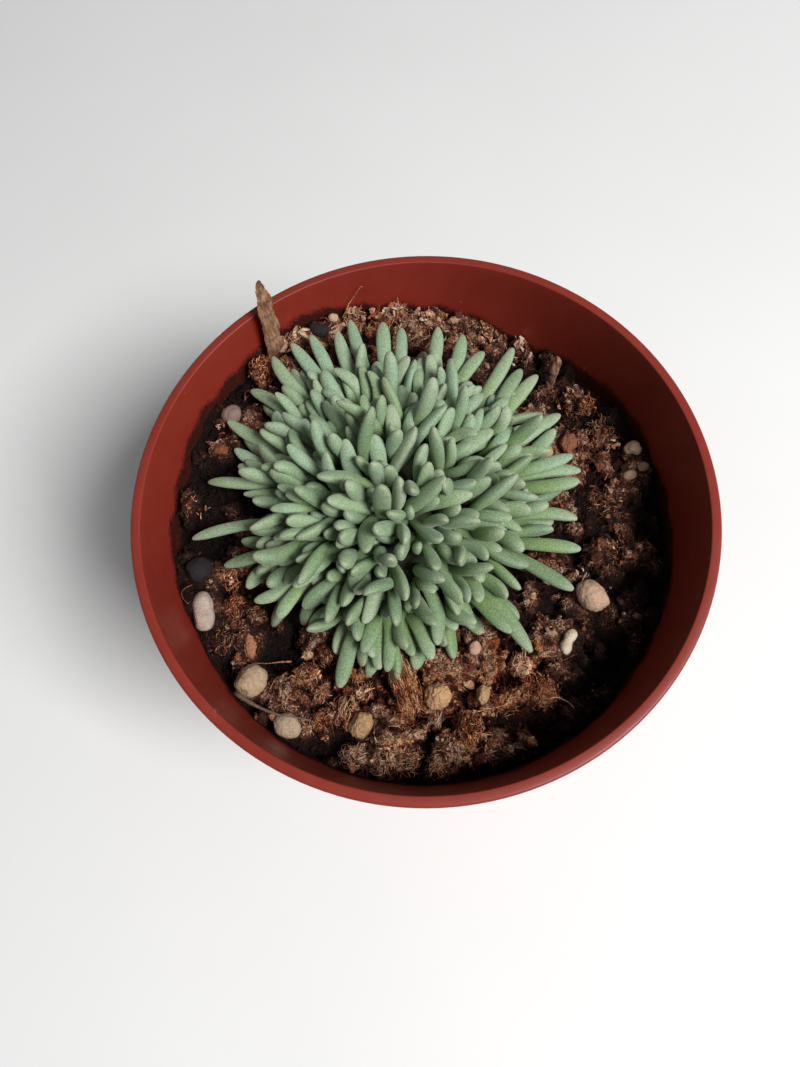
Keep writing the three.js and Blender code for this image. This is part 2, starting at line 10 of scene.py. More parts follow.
import bpy
import numpy as np
from bpy.props import FloatProperty, FloatVectorProperty, IntProperty, PointerProperty
from mathutils import Matrix, Vector, noise


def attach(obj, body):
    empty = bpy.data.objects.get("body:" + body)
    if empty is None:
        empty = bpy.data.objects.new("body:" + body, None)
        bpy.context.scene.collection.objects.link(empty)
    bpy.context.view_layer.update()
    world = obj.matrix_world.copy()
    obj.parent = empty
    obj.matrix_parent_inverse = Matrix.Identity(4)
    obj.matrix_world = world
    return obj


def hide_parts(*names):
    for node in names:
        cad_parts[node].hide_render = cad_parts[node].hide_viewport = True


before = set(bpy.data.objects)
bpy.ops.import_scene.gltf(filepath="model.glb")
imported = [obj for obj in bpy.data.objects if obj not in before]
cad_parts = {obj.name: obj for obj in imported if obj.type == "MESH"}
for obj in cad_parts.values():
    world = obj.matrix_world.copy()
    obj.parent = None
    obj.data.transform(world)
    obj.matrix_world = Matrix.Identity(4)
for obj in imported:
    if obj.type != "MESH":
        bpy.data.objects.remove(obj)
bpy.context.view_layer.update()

bl_info = {
    "name": "Potted cushion succulent",
    "version": (1, 0, 0),
    "blender": (4, 5, 0),
    "location": "3D View > Sidebar > Potted plant",
    "description": "Builds the pot, the soil and the plant around the packed part",
    "category": "Add Mesh",
}

MM = 0.001
UPWARD = Vector((0, 0, 1))
SEAM = 0.01  # ends of a turned profile that are nearer than this are merged

# Pot
RIM_Z = 68.0
RIM_RADIUS = 42.5
LIP_WIDTH = 1.5
WALL = 1.0
TAPER = 0.15
COLLAR_DEPTH = 9.0
COLLAR_STEP = 0.8
FLOOR_UNDERSIDE = 1.6
FLOOR_THICKNESS = 1.2
FOOT_RING_WIDTH = 3.0
DRAIN_HOLES = 6
DRAIN_RADIUS = 2.6
DRAIN_CIRCLE = 20.0
LIP_ROUND = 0.42
LIP_INNER_ROUND = 0.2
FLOOR_ROUND = 2.0
WALL_LEVELS = (67.2, 66, *np.arange(64.5, 52, -0.5), 40, 24, 8)  # of the inner wall's rings
STAIN_AND_SHADE_LOWEST = 50.0
STAIN_AND_SHADE_RISE = 1.7  # how far above the peat the stain and the painted shade on the wall fade out

# Soil: depth under the rim in the middle, and at the wall every 30 degrees from +X
SOIL_MIDDLE_DEPTH = 12.0
SOIL_WALL_DEPTHS = np.array([13, 12.5, 14.5, 10, 5.8, 7.5, 10, 14, 12, 10.5, 12, 13.5])
SOIL_SMOOTH = (20.0, 30.0)
# The bed's top is made flat, at this level and out to this radius, and then takes its relief
BED_LEVEL = 60.0
BED_RADIUS = 39.0
BED_RING = 0.3
BED_MIDDLE_RINGS = (15, 14, 13, 12, 11, 9.5, 8, 5, 2, 0)
BED_STRETCH_FROM = 30.0  # outside this radius the rings are drawn out to the wall
BED_GAP = 0.1  # to the pot, below the surface
PEAT_GROUND = -1.6  # the relief between the clods
CLOD_FOOT = -1.5
CLOD_STEEPNESS = 0.4  # power of a clod's outline: below 1 its sides are steeper than a dome's
FINE_HEIGHT = 0.45
# Under the plant, relief above this level keeps only this share of its height above it
UNDER_PLANT_TOP = -0.4
UNDER_PLANT_SHARE = 0.3
PEAT_LOWEST = -3.6
PEAT_HIGHEST = 1.9
HOLLOW_DEPTH = 3.0
MOAT_DEPTH = 1.2
WET_DEPTH = 1.6
SEEDED_CLODS = 700
SEEDED_REACH = 40.0
PLANT_EDGE = 21.0  # the peat is low this far from the cushion's middle
PLANT_MARGIN = 9.0  # and at its full height this much further out
CRUMB_SIZES = (0.22, 0.55)  # smallest, and how much larger the largest is
CLOD_SIZES = (0.7, 1.2)
CRUMBS_TO_CLODS = 16
SOIL_LUMPS = [  # x, y, radius, height
    (-14.5, -22.6, 3.8, 1.5),
    (-19.5, -26.0, 3.2, 1.4),
    (-4.5, -33.0, 4.0, 1.3),
    (14.0, -27.0, 3.8, 1.2),
    (27.5, 2.0, 4.2, 1.4),
    (30.5, 19.0, 3.6, 1.3),
    (10.0, 36.0, 3.6, 1.3),
    (-3.0, 37.0, 3.2, 1.2),
    (-35.0, 3.0, 3.0, 1.2),
]
# Where the peat is reddish (above 0) or wet and dark (below 0), the dark patches at the front right
# and along the right wall being also painted shadow of the wall: x, y, radius, how much
RUST_DAMP_AND_SHADOW_PATCHES = [
    (-22.6, -20.2, 3.4, -0.9),
    (-7.5, -30.5, 2.6, -0.7),
    (10.5, -34.5, 3.0, -0.8),
    (-12.0, -33.0, 2.0, -0.7),
    (3.0, -34.0, 1.8, -0.6),
    (-19.6, -15.4, 3.0, -0.7),
    (-31.5, -20.0, 3.6, -0.7),
    (-35.5, -16.0, 3.0, -0.6),
    (-32.0, 7.0, 6.0, -0.85),
    (-29.5, 24.0, 4.5, -0.7),
    (-2.0, -39.0, 4.0, -0.7),
    (-19.0, -35.0, 3.5, -0.7),
    # Painted shadow of the wall, with wet peat, at the front right and along the right wall
    (24.5, -31.0, 6.5, -0.95),
    (24.0, -24.0, 4.5, -0.9),
    (28.0, -22.0, 8.0, -0.9),
    (34.0, -11.0, 8.0, -0.8),
    (37.0, 2.0, 6.0, -0.7),
    (10.0, -38.0, 5.0, -0.6),
    (-34.0, -3.0, 6.5, -0.9),
    (-33.5, -16.5, 3.0, -0.6),
    (-37.0, -10.0, 4.0, -0.7),
    (-18.0, -15.0, 5.0, -0.5),
    (-31.0, -14.0, 6.0, -0.5),
    (-3.0, -26.5, 5.5, 1.0),
    (-12.0, -24.5, 6.0, 0.75),
    (6.0, -30.0, 8.0, 0.6),
    (13.5, -24.0, 6.0, 0.8),
    (-6.0, -35.5, 7.0, 0.55),
    (-27.5, -7.0, 3.6, 0.5),
    (-28.6, -12.6, 3.0, 0.5),
    (27.5, 21.5, 3.0, 0.6),
    (26.0, 10.0, 4.0, 0.3),
    (33.0, 21.0, 6.0, -0.9),
    (26.0, 29.0, 5.0, -0.8),
    (19.5, 28.5, 3.0, -0.6),
    (-26.3, 26.4, 2.6, 0.7),
    (-18.0, 33.0, 5.0, 0.5),
    (-8.0, 36.0, 6.0, 0.6),
    (-31.0, 16.0, 3.0, 0.5),
]

# Matted lumps of peat: x, y, (length, width, height), turn in degrees, tone, how red
CLODS = [
    (-3.1, -25.1, (8.6, 3.7, 3.4), -73, 0.58, 1.0),
    (6.2, -31.8, (5.4, 4.0, 4.2), 80, 0.44, 1.0),
    (14.2, -22.4, (3.4, 3.2, 2.8), 20, 0.70, 0.35),
    (17.6, -26.4, (4.6, 3.4, 2.2), 60, 0.44, 1.0),
    (11.8, -27.4, (4.0, 3.0, 2.0), 20, 0.40, 0.9),
    (-10.0, -35.3, (3.6, 3.0, 2.4), -10, 0.54, 0.4),
    (-6.6, -35.9, (4.2, 3.0, 2.6), -15, 0.52, 0.35),
    (-2.4, -36.3, (3.4, 2.8, 2.0), 10, 0.50, 0.5),
    (1.9, -36.6, (3.4, 2.6, 2.0), 30, 0.50, 0.6),
    (-12.3, -28.6, (3.6, 2.0, 2.0), 75, 0.60, 0.5),
    (-18.0, -23.5, (3.8, 3.4, 2.8), 20, 0.46, 0.9),
    (-15.6, -26.0, (3.4, 2.8, 2.2), 60, 0.54, 0.6),
    (-15.4, -30.3, (2.8, 2.4, 2.2), 40, 0.38, 1.0),
    (-14.6, -20.6, (3.6, 3.2, 2.8), 0, 0.32, 0.8),
    (-29.8, -12.0, (3.8, 3.0, 2.2), 60, 0.30, 1.0),
    (-31.0, -18.0, (3.6, 3.0, 2.0), 70, 0.30, 0.4),
    (-26.3, 26.2, (5.0, 3.4, 3.0), 60, 0.38, 0.9),
    (-20.8, 31.8, (3.6, 2.6, 2.2), 30, 0.46, 0.5),
    (-11.0, 36.6, (3.8, 2.6, 2.4), 10, 0.52, 0.6),
    (-4.2, 37.6, (4.4, 2.8, 2.8), 0, 0.48, 0.5),
    (2.0, 37.8, (3.8, 2.4, 2.6), -10, 0.46, 0.6),
    (11.6, 36.0, (3.6, 2.8, 2.4), -20, 0.46, 0.4),
    (17.6, 33.0, (3.6, 3.0, 2.6), -40, 0.44, 0.2),
    (29.4, 15.6, (4.2, 3.2, 2.6), 60, 0.38, 0.4),
    (27.6, 21.6, (3.4, 2.8, 2.2), 40, 0.40, 0.9),
]

# Bundles of fibres: x, y, radius, fibres, direction and its spread in degrees, length, thickness,
# steepness in degrees, tone from black (0) to straw (1), how red, height of the pile
TUFTS = [
    (-3.9, -22.2, 1.7, 190, -73, 8, 3.2, 0.14, 4, 0.76, 1.0, 1.5),
    (-3.1, -24.8, 1.8, 220, -73, 9, 3.2, 0.14, 4, 0.64, 1.0, 1.7),
    (-2.2, -27.2, 1.7, 190, -72, 11, 2.8, 0.14, 3, 0.58, 1.0, 1.5),
    (1.5, -30.3, 0.9, 60, -96, 18, 2.4, 0.09, 0, 0.74, 0.4, 0.6),
    (6.2, -31.8, 2.2, 380, 80, 45, 1.3, 0.10, 25, 0.40, 1.0, 1.7),
    (14.2, -22.4, 1.8, 190, 70, 80, 1.3, 0.12, 25, 0.60, 0.7, 1.2),
    (17.3, -26.1, 2.8, 240, 100, 60, 1.5, 0.09, 20, 0.44, 1.0, 0.9),
    (11.6, -27.6, 2.2, 120, 60, 70, 1.4, 0.09, 20, 0.44, 0.9, 0.6),
    (-10.3, -35.4, 1.9, 150, -10, 50, 1.8, 0.10, 15, 0.60, 0.3, 1.0),
    (-6.9, -35.8, 2.0, 170, -15, 50, 1.8, 0.10, 15, 0.58, 0.3, 1.1),
    (-3.0, -36.2, 2.0, 120, 10, 60, 1.5, 0.10, 15, 0.56, 0.4, 0.8),
    (1.9, -36.7, 2.0, 120, 10, 70, 1.3, 0.10, 20, 0.56, 0.5, 0.8),
    (-12.1, -29.0, 1.5, 120, 75, 22, 2.6, 0.10, 10, 0.58, 0.7, 0.8),
    (-9.2, -25.9, 1.4, 80, 60, 50, 1.6, 0.12, 15, 0.60, 0.5, 0.8),
    (-18.0, -23.5, 1.9, 200, 20, 70, 1.4, 0.10, 22, 0.50, 0.8, 1.2),
    (-15.9, -25.8, 1.7, 150, 20, 70, 1.4, 0.10, 22, 0.58, 0.6, 0.9),
    (-15.4, -30.3, 1.5, 120, 60, 80, 1.1, 0.10, 25, 0.40, 1.0, 0.9),
    (-14.8, -20.9, 1.7, 130, 100, 80, 1.1, 0.10, 30, 0.36, 0.8, 1.0),
    (-30.2, -8.5, 1.5, 110, 20, 60, 1.4, 0.13, 20, 0.54, 1.0, 1.0),
    (-29.6, -12.6, 1.8, 130, 50, 70, 1.2, 0.10, 20, 0.34, 1.0, 0.8),
    (-31.0, -18.0, 2.0, 120, 60, 70, 1.4, 0.10, 20, 0.34, 0.3, 0.7),
    (-26.3, 26.4, 2.2, 160, 60, 80, 1.4, 0.13, 25, 0.42, 0.9, 1.2),
    (-21.4, 31.6, 1.9, 60, 15, 60, 2.2, 0.13, 25, 0.66, 0.3, 0.6),
    (-16.2, 33.6, 1.9, 50, 20, 60, 2.2, 0.13, 25, 0.66, 0.3, 0.6),
    (-11.0, 36.6, 1.9, 60, 50, 60, 2.0, 0.12, 25, 0.62, 0.4, 0.6),
    (-4.2, 37.2, 2.4, 110, 30, 80, 1.7, 0.11, 30, 0.58, 0.4, 0.8),
    (2.4, 37.2, 2.4, 110, 120, 70, 1.7, 0.11, 30, 0.54, 0.6, 0.8),
    (10.4, 35.8, 2.4, 110, 80, 70, 1.6, 0.13, 30, 0.50, 0.5, 0.8),
    (17.4, 32.8, 2.2, 100, 60, 70, 1.6, 0.13, 30, 0.52, 0.2, 0.9),
    (26.4, 21.4, 2.4, 120, 60, 80, 1.4, 0.10, 25, 0.44, 0.6, 0.8),
    (29.6, 16.0, 2.6, 120, 20, 80, 1.4, 0.10, 25, 0.42, 0.4, 0.8),
    (28.6, 3.4, 2.4, 110, 60, 80, 1.3, 0.09, 22, 0.38, 0.5, 0.7),
    (30.2, -4.6, 2.2, 110, 40, 80, 1.3, 0.09, 22, 0.42, 0.5, 0.7),
]
# Clusters of bark flakes, in the same columns
FLAKES = [
    (-22.6, 31.6, 1.6, 9, 40, 60, 2.4, 1.10, 25, 0.74, 0.1, 0.9),
    (-20.0, 31.6, 1.6, 8, -30, 60, 2.6, 1.15, 25, 0.78, 0.1, 0.9),
    (-15.1, 34.0, 1.4, 7, 20, 50, 3.0, 1.40, 25, 0.84, 0.2, 1.0),
    (-11.0, 36.4, 1.6, 9, 50, 60, 2.4, 1.15, 30, 0.74, 0.3, 1.0),
    (-8.0, 37.2, 1.6, 8, 50, 80, 2.0, 0.85, 35, 0.60, 0.5, 0.7),
    (-4.0, 37.4, 2.0, 12, 30, 90, 2.0, 0.90, 40, 0.82, 0.1, 1.0),
    (0.6, 37.8, 1.8, 10, 120, 90, 1.9, 0.85, 40, 0.70, 0.4, 0.9),
    (4.6, 36.8, 1.8, 9, 120, 90, 1.8, 0.80, 35, 0.66, 0.4, 0.7),
    (11.4, 35.4, 2.2, 12, 80, 90, 2.0, 0.85, 35, 0.74, 0.2, 0.9),
    (17.4, 32.6, 2.2, 12, 60, 90, 2.0, 0.80, 35, 0.70, 0.1, 0.9),
    (-31.4, 16.6, 2.0, 12, 60, 90, 1.3, 0.40, 35, 0.60, 0.5, 0.4),
    (-27.6, 21.6, 2.0, 12, 60, 90, 1.3, 0.45, 35, 0.50, 0.8, 0.5),
    (-35.4, 2.6, 1.6, 8, 60, 90, 1.2, 0.36, 35, 0.50, 0.6, 0.4),
    (24.6, 22.6, 1.6, 10, 60, 90, 1.4, 0.50, 35, 0.70, 0.5, 0.6),
    (28.3, 21.4, 1.6, 12, 60, 90, 1.4, 0.45, 35, 0.48, 1.0, 0.5),
    (30.4, 15.0, 2.4, 18, 60, 90, 1.4, 0.42, 35, 0.54, 0.3, 0.5),
    (29.6, 5.4, 2.8, 20, 60, 90, 1.3, 0.38, 35, 0.46, 0.4, 0.4),
    (30.0, -4.4, 2.6, 18, 60, 90, 1.3, 0.38, 35, 0.48, 0.4, 0.4),
    (24.6, -8.4, 1.6, 12, 60, 90, 1.3, 0.38, 35, 0.50, 0.4, 0.4),
    (14.4, -22.4, 1.5, 16, 60, 90, 1.4, 0.46, 35, 0.80, 0.7, 1.0),
    (19.6, -16.4, 1.6, 12, 60, 90, 1.2, 0.36, 35, 0.56, 0.4, 0.5),
    (-3.6, -22.6, 1.3, 22, -73, 20, 1.3, 0.26, 10, 0.95, 0.2, 2.2),
    (6.4, -31.6, 2.0, 12, 60, 60, 1.2, 0.36, 35, 0.42, 1.0, 1.5),
    (-8.0, -35.4, 2.6, 18, -8, 50, 1.5, 0.36, 25, 0.64, 0.3, 1.0),
    (-9.2, -25.9, 1.2, 9, 60, 60, 1.6, 0.42, 25, 0.78, 0.3, 0.8),
    (-13.0, -29.4, 1.6, 10, 60, 60, 1.3, 0.36, 35, 0.78, 0.4, 0.7),
    (-17.0, -24.2, 2.0, 14, 20, 90, 1.2, 0.38, 35, 0.50, 0.8, 0.9),
    (-30.2, -8.5, 1.3, 12, 20, 90, 1.3, 0.40, 30, 0.64, 1.0, 0.9),
]
# Height and width of each ring of the fingers that are copied along the strands
FIBRE_CUTS = [(0, 0.4), (0.33, 1), (0.66, 0.9), (1, 0.2)]
TUFT_CUTS = [(0, 0.5), (0.33, 1), (0.66, 0.9), (1, 0.25)]
FLAKE_CUTS = [(0, 0.5), (0.3, 1.0), (0.7, 0.9), (1, 0.3)]
THREAD_CUTS = [(t, 1 - 0.5 * t) for t in np.linspace(0, 1, 13)]
# Single threads: line as x, y and height above the peat, radius, tone
THREADS = [
    ([(-5.6, -26.4, 0.2), (-3.6, -28.8, 0.7), (-0.6, -29.9, 1.1), (4.0, -30.0, 1.0),
      (7.6, -29.2, 1.0), (11.6, -28.4, 0.6)], 0.09, 0.30),
    ([(6.8, -29.3, 1.1), (7.8, -29.2, 1.2), (8.8, -29.0, 1.2), (9.8, -28.8, 1.1),
      (10.8, -28.6, 1.0), (11.8, -28.4, 0.8)], 0.09, 0.84),
    ([(-12.7, 36.4, 0.8), (-12.0, 37.2, 2.2), (-11.4, 37.7, 3.4), (-10.7, 38.1, 4.6),
      (-10.0, 38.4, 5.6), (-9.4, 38.6, 6.2)], 0.11, 0.62),
    ([(-36.2, -9.4, 0.6), (-36.8, -10.0, 1.2), (-37.2, -10.8, 1.6), (-37.1, -11.6, 1.5),
      (-36.7, -12.2, 1.2), (-36.2, -12.6, 0.8)], 0.14, 0.36),
    ([(17.8, -27.6, 0.3), (18.6, -27.4, 1.4), (19.4, -27.4, 1.8), (20.2, -27.7, 1.8),
      (20.9, -28.2, 1.4), (21.4, -28.8, 0.6)], 0.10, 0.90),
    ([(-20.2, -21.4, 0.2), (-21.6, -21.5, 0.5), (-23.0, -21.6, 0.6), (-24.2, -21.6, 0.6),
      (-25.2, -21.5, 0.5), (-26.0, -21.4, 0.2)], 0.15, 0.56),
]

# Cushion: the dome on which its shoots end
CUSHION_CENTRE = (-4.4, 3.8)
CUSHION_REACH = (19.0, 20.0)
CROWN_DEPTH = 2.4  # of the middle shoot's tip, under the rim
DOME_FALL = 7.3
DOME_TILT = 1.0  # higher at the back
DOME_LEAN = 4.0  # the top leans to the front
DOME_POWER = 2.1
FOOT_RADIUS = 12.0
FOOT_DEPTH = 19.0
STEMS_EDGE = [(FOOT_RADIUS, 57), (17.5, 57.2), (18.8, 57.6)]
STEMS_DEPTH = 1.9  # of the stems' dome, under that of the shoots' tips

SHOOTS = 48
GOLDEN_ANGLE = 137.508
FIRST_ANGLE = 60.0
SHOOT_SPREAD = 0.56
SHOOT_LEAN = 76.0
LEAF_RISE = 0.12
LEAF_PAIRS = [  # youngest first: length, width, angle from the shoot
    ((3.8, 7.6), (1.75, 2.1), 14.0),
    ((8.0, 10.4), (1.95, 2.35), 32.0),
    ((10.0, 12.6), (2.1, 2.5), 50.0),
]
UNDER_LEAVES = 84
BACK_LEAVES = 26
BACK_TURNS = (0.2, 0.85)  # half turns from +X between which the back leaves stand
BACK_ROOTS = (0.74, 0.92)  # shares of the dome's radius at which they start
OPEN_FRONT = 0.35  # no under leaves where the dome faces further to the front than this
LEAF_KNOTS = 8
# Place along a leaf and width there, as shares, with which leaves push each other apart
LEAF_SHAPE = np.array([
    (0, 0.66), (0.12, 0.8), (0.3, 0.95), (0.52, 1), (0.72, 0.98), (0.84, 0.88),
    (0.91, 0.72), (0.96, 0.5), (0.99, 0.26), (1, 0.02),
])
TIP_WIDTH = 0.55  # of the last knot, for that push
# Height and width of each ring of the finger that becomes a leaf
LEAF_CUTS = [
    (0, 0.68), (0.15, 0.86), (0.36, 1.02), (0.60, 1.08), (0.80, 0.97), (0.93, 0.70), (1, 0.28),
]
SETTLE_ROUNDS = 140
SETTLE_STEP = 0.6
SETTLE_REBOUND = 0.995
ROUNDS_PER_SEARCH = 10  # between two looks for the leaves that are near each other
NEIGHBOUR_REACH = 3.0
SOIL_CLEARANCE = 0.5

# Tips of the outermost leaves: x, y, depth under the rim, leaf length, leaf width
OUTER_LEAVES = [
    (-34.5, 7.0, 9.5, 13.5, 2.1),
    (-36.0, -2.5, 10.5, 14.0, 2.0),
    (-30.5, -7.0, 9.5, 10.0, 2.2),
    (-25.5, -13.0, 8.5, 10.0, 2.2),
    (-21.5, -16.0, 7.5, 11.0, 2.3),
    (-16.5, -18.0, 7.0, 9.5, 2.2),
    (-12.5, -26.5, 8.8, 13.0, 2.6),
    (-9.0, -22.0, 5.5, 10.5, 2.5),
    (-5.5, -24.5, 8.5, 10.0, 2.2),
    (-1.5, -21.5, 8.5, 8.0, 2.1),
    (1.0, -22.5, 6.5, 11.0, 2.4),
    (4.5, -18.0, 7.0, 8.0, 2.3),
    (12.5, -19.0, 5.5, 11.5, 2.4),
    (15.5, -21.5, 7.5, 13.0, 2.5),
    (22.0, -12.5, 6.5, 12.0, 2.4),
    (23.5, -6.0, 7.0, 11.0, 2.3),
    (23.5, -1.0, 7.5, 9.0, 2.2),
    (24.0, 4.5, 5.5, 11.0, 2.4),
    (24.5, 7.0, 7.5, 11.0, 2.4),
    (23.5, 9.0, 6.0, 11.0, 2.4),
    (21.0, 13.5, 5.5, 11.0, 2.5),
    (22.0, 16.5, 7.0, 10.5, 2.5),
    (19.0, 23.5, 6.0, 11.0, 2.4),
    (16.5, 24.5, 5.5, 9.5, 2.4),
    (15.0, 27.5, 4.5, 11.0, 2.4),
    (10.5, 27.5, 5.0, 9.5, 2.3),
    (7.0, 30.5, 5.0, 10.0, 2.4),
    (3.0, 31.5, 4.0, 10.5, 2.5),
    (-3.0, 32.0, 5.0, 9.5, 2.2),
    (-6.0, 32.5, 4.0, 11.0, 2.6),
    (-11.5, 33.5, 4.5, 10.5, 2.3),
    (-13.5, 31.0, 4.0, 11.0, 2.4),
    (-18.0, 30.5, 3.8, 12.0, 2.3),
    (-21.0, 29.0, 4.0, 12.0, 2.4),
    (-24.0, 27.0, 4.5, 12.0, 2.4),
    (-28.0, 22.0, 6.5, 11.0, 2.3),
    (-31.5, 17.0, 8.0, 11.5, 2.3),
    (-30.0, 12.0, 8.5, 9.5, 2.3),
]

# Loose stones and chips: name, x, y, (length, width, height), turn, share above the soil,
# colour and second colour in linear values
STONES = [
    ("pebble_white_left", -34.2, -13.4, (6.4, 3.9, 3.6), 98, 0.62,
     (0.47, 0.39, 0.33), (0.30, 0.22, 0.17)),
    ("stone_charcoal_left", -34.9, -7.2, (4.2, 4.0, 3.4), 20, 0.6,
     (0.010, 0.0075, 0.008), (0.022, 0.017, 0.018)),
    ("pebble_grey_back", -31.0, 18.6, (3.6, 3.4, 3.4), 0, 0.6,
     (0.26, 0.17, 0.15), (0.16, 0.10, 0.09)),
    ("pebble_tan_left", -26.0, -24.4, (5.3, 4.8, 4.4), 35, 0.62,
     (0.46, 0.33, 0.22), (0.31, 0.20, 0.12)),
    ("pebble_pale_left", -20.2, -31.0, (4.4, 3.4, 3.0), -28, 0.6,
     (0.42, 0.32, 0.22), (0.29, 0.20, 0.13)),
    ("pebble_tan_front_left", -9.3, -30.9, (3.9, 3.6, 3.2), 40, 0.6,
     (0.45, 0.29, 0.15), (0.27, 0.14, 0.065)),
    ("pebble_tan_front", 1.8, -27.0, (4.0, 3.7, 3.6), 10, 0.64,
     (0.52, 0.32, 0.17), (0.32, 0.16, 0.075)),
    ("pebble_small_front", 8.5, -26.7, (2.8, 1.9, 2.0), 80, 0.6,
     (0.45, 0.29, 0.15), (0.26, 0.13, 0.06)),
    ("pebble_tan_right", 25.6, -12.1, (5.8, 4.3, 4.0), -48, 0.64,
     (0.53, 0.36, 0.24), (0.36, 0.22, 0.14)),
    ("pebble_hooked_right", 21.7, -18.8, (4.3, 2.3, 2.2), 62, 0.6,
     (0.62, 0.55, 0.45), (0.42, 0.30, 0.16)),
    ("pebble_pink_front", 7.5, -19.8, (2.3, 1.9, 1.9), 75, 0.6,
     (0.55, 0.34, 0.26), (0.40, 0.22, 0.16)),
    ("pebble_orange_front", 10.6, -14.6, (4.0, 3.2, 2.6), 65, 0.5,
     (0.48, 0.26, 0.10), (0.32, 0.14, 0.05)),
    ("pebble_wall_right", 34.5, 12.9, (3.0, 2.6, 2.4), 20, 0.6,
     (0.42, 0.30, 0.20), (0.26, 0.16, 0.10)),
    ("pebble_wall_right_small", 36.0, 9.9, (2.2, 1.9, 1.8), -10, 0.6,
     (0.34, 0.23, 0.15), (0.2, 0.12, 0.08)),
    ("chip_wall_right", 33.7, 8.5, (2.6, 2.0, 1.8), 20, 0.6,
     (0.34, 0.22, 0.14), (0.2, 0.12, 0.07)),
    ("chip_orange_left", -32.4, 12.6, (3.4, 1.8, 1.5), -8, 0.55,
     (0.24, 0.075, 0.025), (0.12, 0.035, 0.015)),
    ("stone_black_back", -16.9, 33.2, (3.8, 2.4, 2.2), -22, 0.55,
     (0.010, 0.0085, 0.010), (0.022, 0.019, 0.021)),
    ("pebble_white_back", -14.6, 35.4, (1.9, 1.7, 1.6), 15, 0.6,
     (0.55, 0.38, 0.27), (0.36, 0.22, 0.14)),
    ("pebble_tan_back", 20.3, 12.4, (2.9, 2.3, 2.2), 70, 0.55,
     (0.50, 0.34, 0.16), (0.32, 0.18, 0.08)),
    ("chip_brown_back", 24.0, 13.6, (3.6, 2.8, 2.4), 80, 0.55,
     (0.27, 0.10, 0.05), (0.15, 0.05, 0.025)),
    ("chip_pink_left", -26.7, -18.6, (4.5, 1.9, 1.7), 96, 0.6,
     (0.42, 0.19, 0.11), (0.24, 0.09, 0.05)),
]
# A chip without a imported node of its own, and the slot that it shares
SHARED_SLOTS = {"chip_wall_right": "pebble_wall_right_small"}
# How deep a stone's waist is and how far it bends, as shares of its width
WAISTS = {
    "pebble_white_left": (0.16, 0.05),
    "pebble_hooked_right": (0.34, 0.30),
}
STONE_VOXEL = 0.16
# Those with a crumbling skin
FIBROUS = ("pebble_tan_front_left", "pebble_tan_front", "pebble_small_front", "chip_orange_left",
           "chip_brown_back", "chip_pink_left")

# Bark: centre line from foot to tip, and the half width at each point
SLIVER_LINE = [(-24.1, 29.4, 58), (-24.2, 29.9, 63), (-23.8, 30.5, 68), (-24.2, 31.8, 73),
               (-24.1, 31.9, 76.2)]
SLIVER_HALF_WIDTHS = (1.6, 1.7, 1.6, 1.15, 0.6)
CHIP_LINE = [(22.0, 25.4, 54.5), (22.4, 26.4, 57.5), (22.7, 27.8, 60.2)]
CHIP_HALF_WIDTHS = (0.9, 1.0, 0.5)
TWIG_LINE = [(-27.8, -26.4, 57.9), (-25.0, -28.1, 58.5), (-21.5, -29.6, 59.0),
             (-18.8, -30.0, 58.6), (-16.8, -30.3, 56.6)]
TWIG_RADIUS = 0.36
TWIG_CUTS = [(t, 1 - 0.45 * t) for t in np.linspace(0, 1, 15)]
BARK_FOOT = 4.0  # how far up its foot is reddish
BARK_TIP_FADE = 0.8

# Camera, from the ellipse of the rim in the photograph, and the main light, in metres
CAMERA_PLACE = (0, -0.0428869, 0.1724142)
CAMERA_RIGHT = (0.99946101, -0.0039838, -0.03258562)
CAMERA_UP = (0.01470318, 0.94180719, 0.33583186)
CAMERA_BACK = (0.02935149, -0.33612997, 0.94135813)
KEY_PLACE = (0.384, -0.259, 0.65)
KEY_SIZE = 0.28
LIT_POINT = (0, 0, 0.06)

# Colours in linear values
DUST = (0.55, 0.36, 0.30)
SCRATCH = (0.42, 0.16, 0.12)
# A soil stain on the inner wall just above the peat, which also stands for painted shade where the
# wall meets the peat
WALL_STAIN_AND_SHADE = (0.014, 0.006, 0.004)
LEAF_PALE = (0.33, 0.42, 0.26)
LEAF_PALEST = (0.37, 0.44, 0.29)
LEAF_TIP = (0.42, 0.43, 0.29)
LEAF_BLOTCH = (0.15, 0.22, 0.11)
# Painted shade at the leaf roots, where the leaves crowd together
LEAF_ROOT_PAINTED_SHADE = (0.035, 0.06, 0.014)
LEAF_PIT = (0.07, 0.12, 0.06)
PAPILLA = (0.66, 0.71, 0.58)
BETWEEN_PAPILLAE = (0.045, 0.085, 0.04)
# Stem colours, near black so that the stems stand as painted shade in the gaps between the leaves
STEMS_IN_PAINTED_SHADE = [(0.0, (0.012, 0.012, 0.006)), (0.55, (0.035, 0.045, 0.015)), (1.0, (0.09, 0.10, 0.035))]
PEAT_DUST = (0.016, 0.009, 0.006)
TAN_BARK = ((0.25, 0.11, 0.05), (0.62, 0.41, 0.25))
RED_BARK = ((0.24, 0.10, 0.055), (0.50, 0.28, 0.17))
BARK_SOIL = (0.10, 0.035, 0.02)
BARK_TIP = (0.07, 0.04, 0.025)
TWIG_BARK = ((0.20, 0.13, 0.09), (0.10, 0.06, 0.045))
FLOOR_PALE = ((0.80, 0.80, 0.79), (0.83, 0.83, 0.82))
SKY = (0.96, 0.98, 1.0, 1)

# A leaf before it is settled: its ends, how it bends between them, the way its flat face looks,
# half its width and the number of its shoot. The outer leaves, which belong to none, have numbers
# from -1 downwards, and the under leaves from UNDER_NUMBER downwards
UNDER_NUMBER = -100
Leaf = namedtuple("Leaf", "root tip bend face half_width shoot")


# Sizes and colours that a user may change

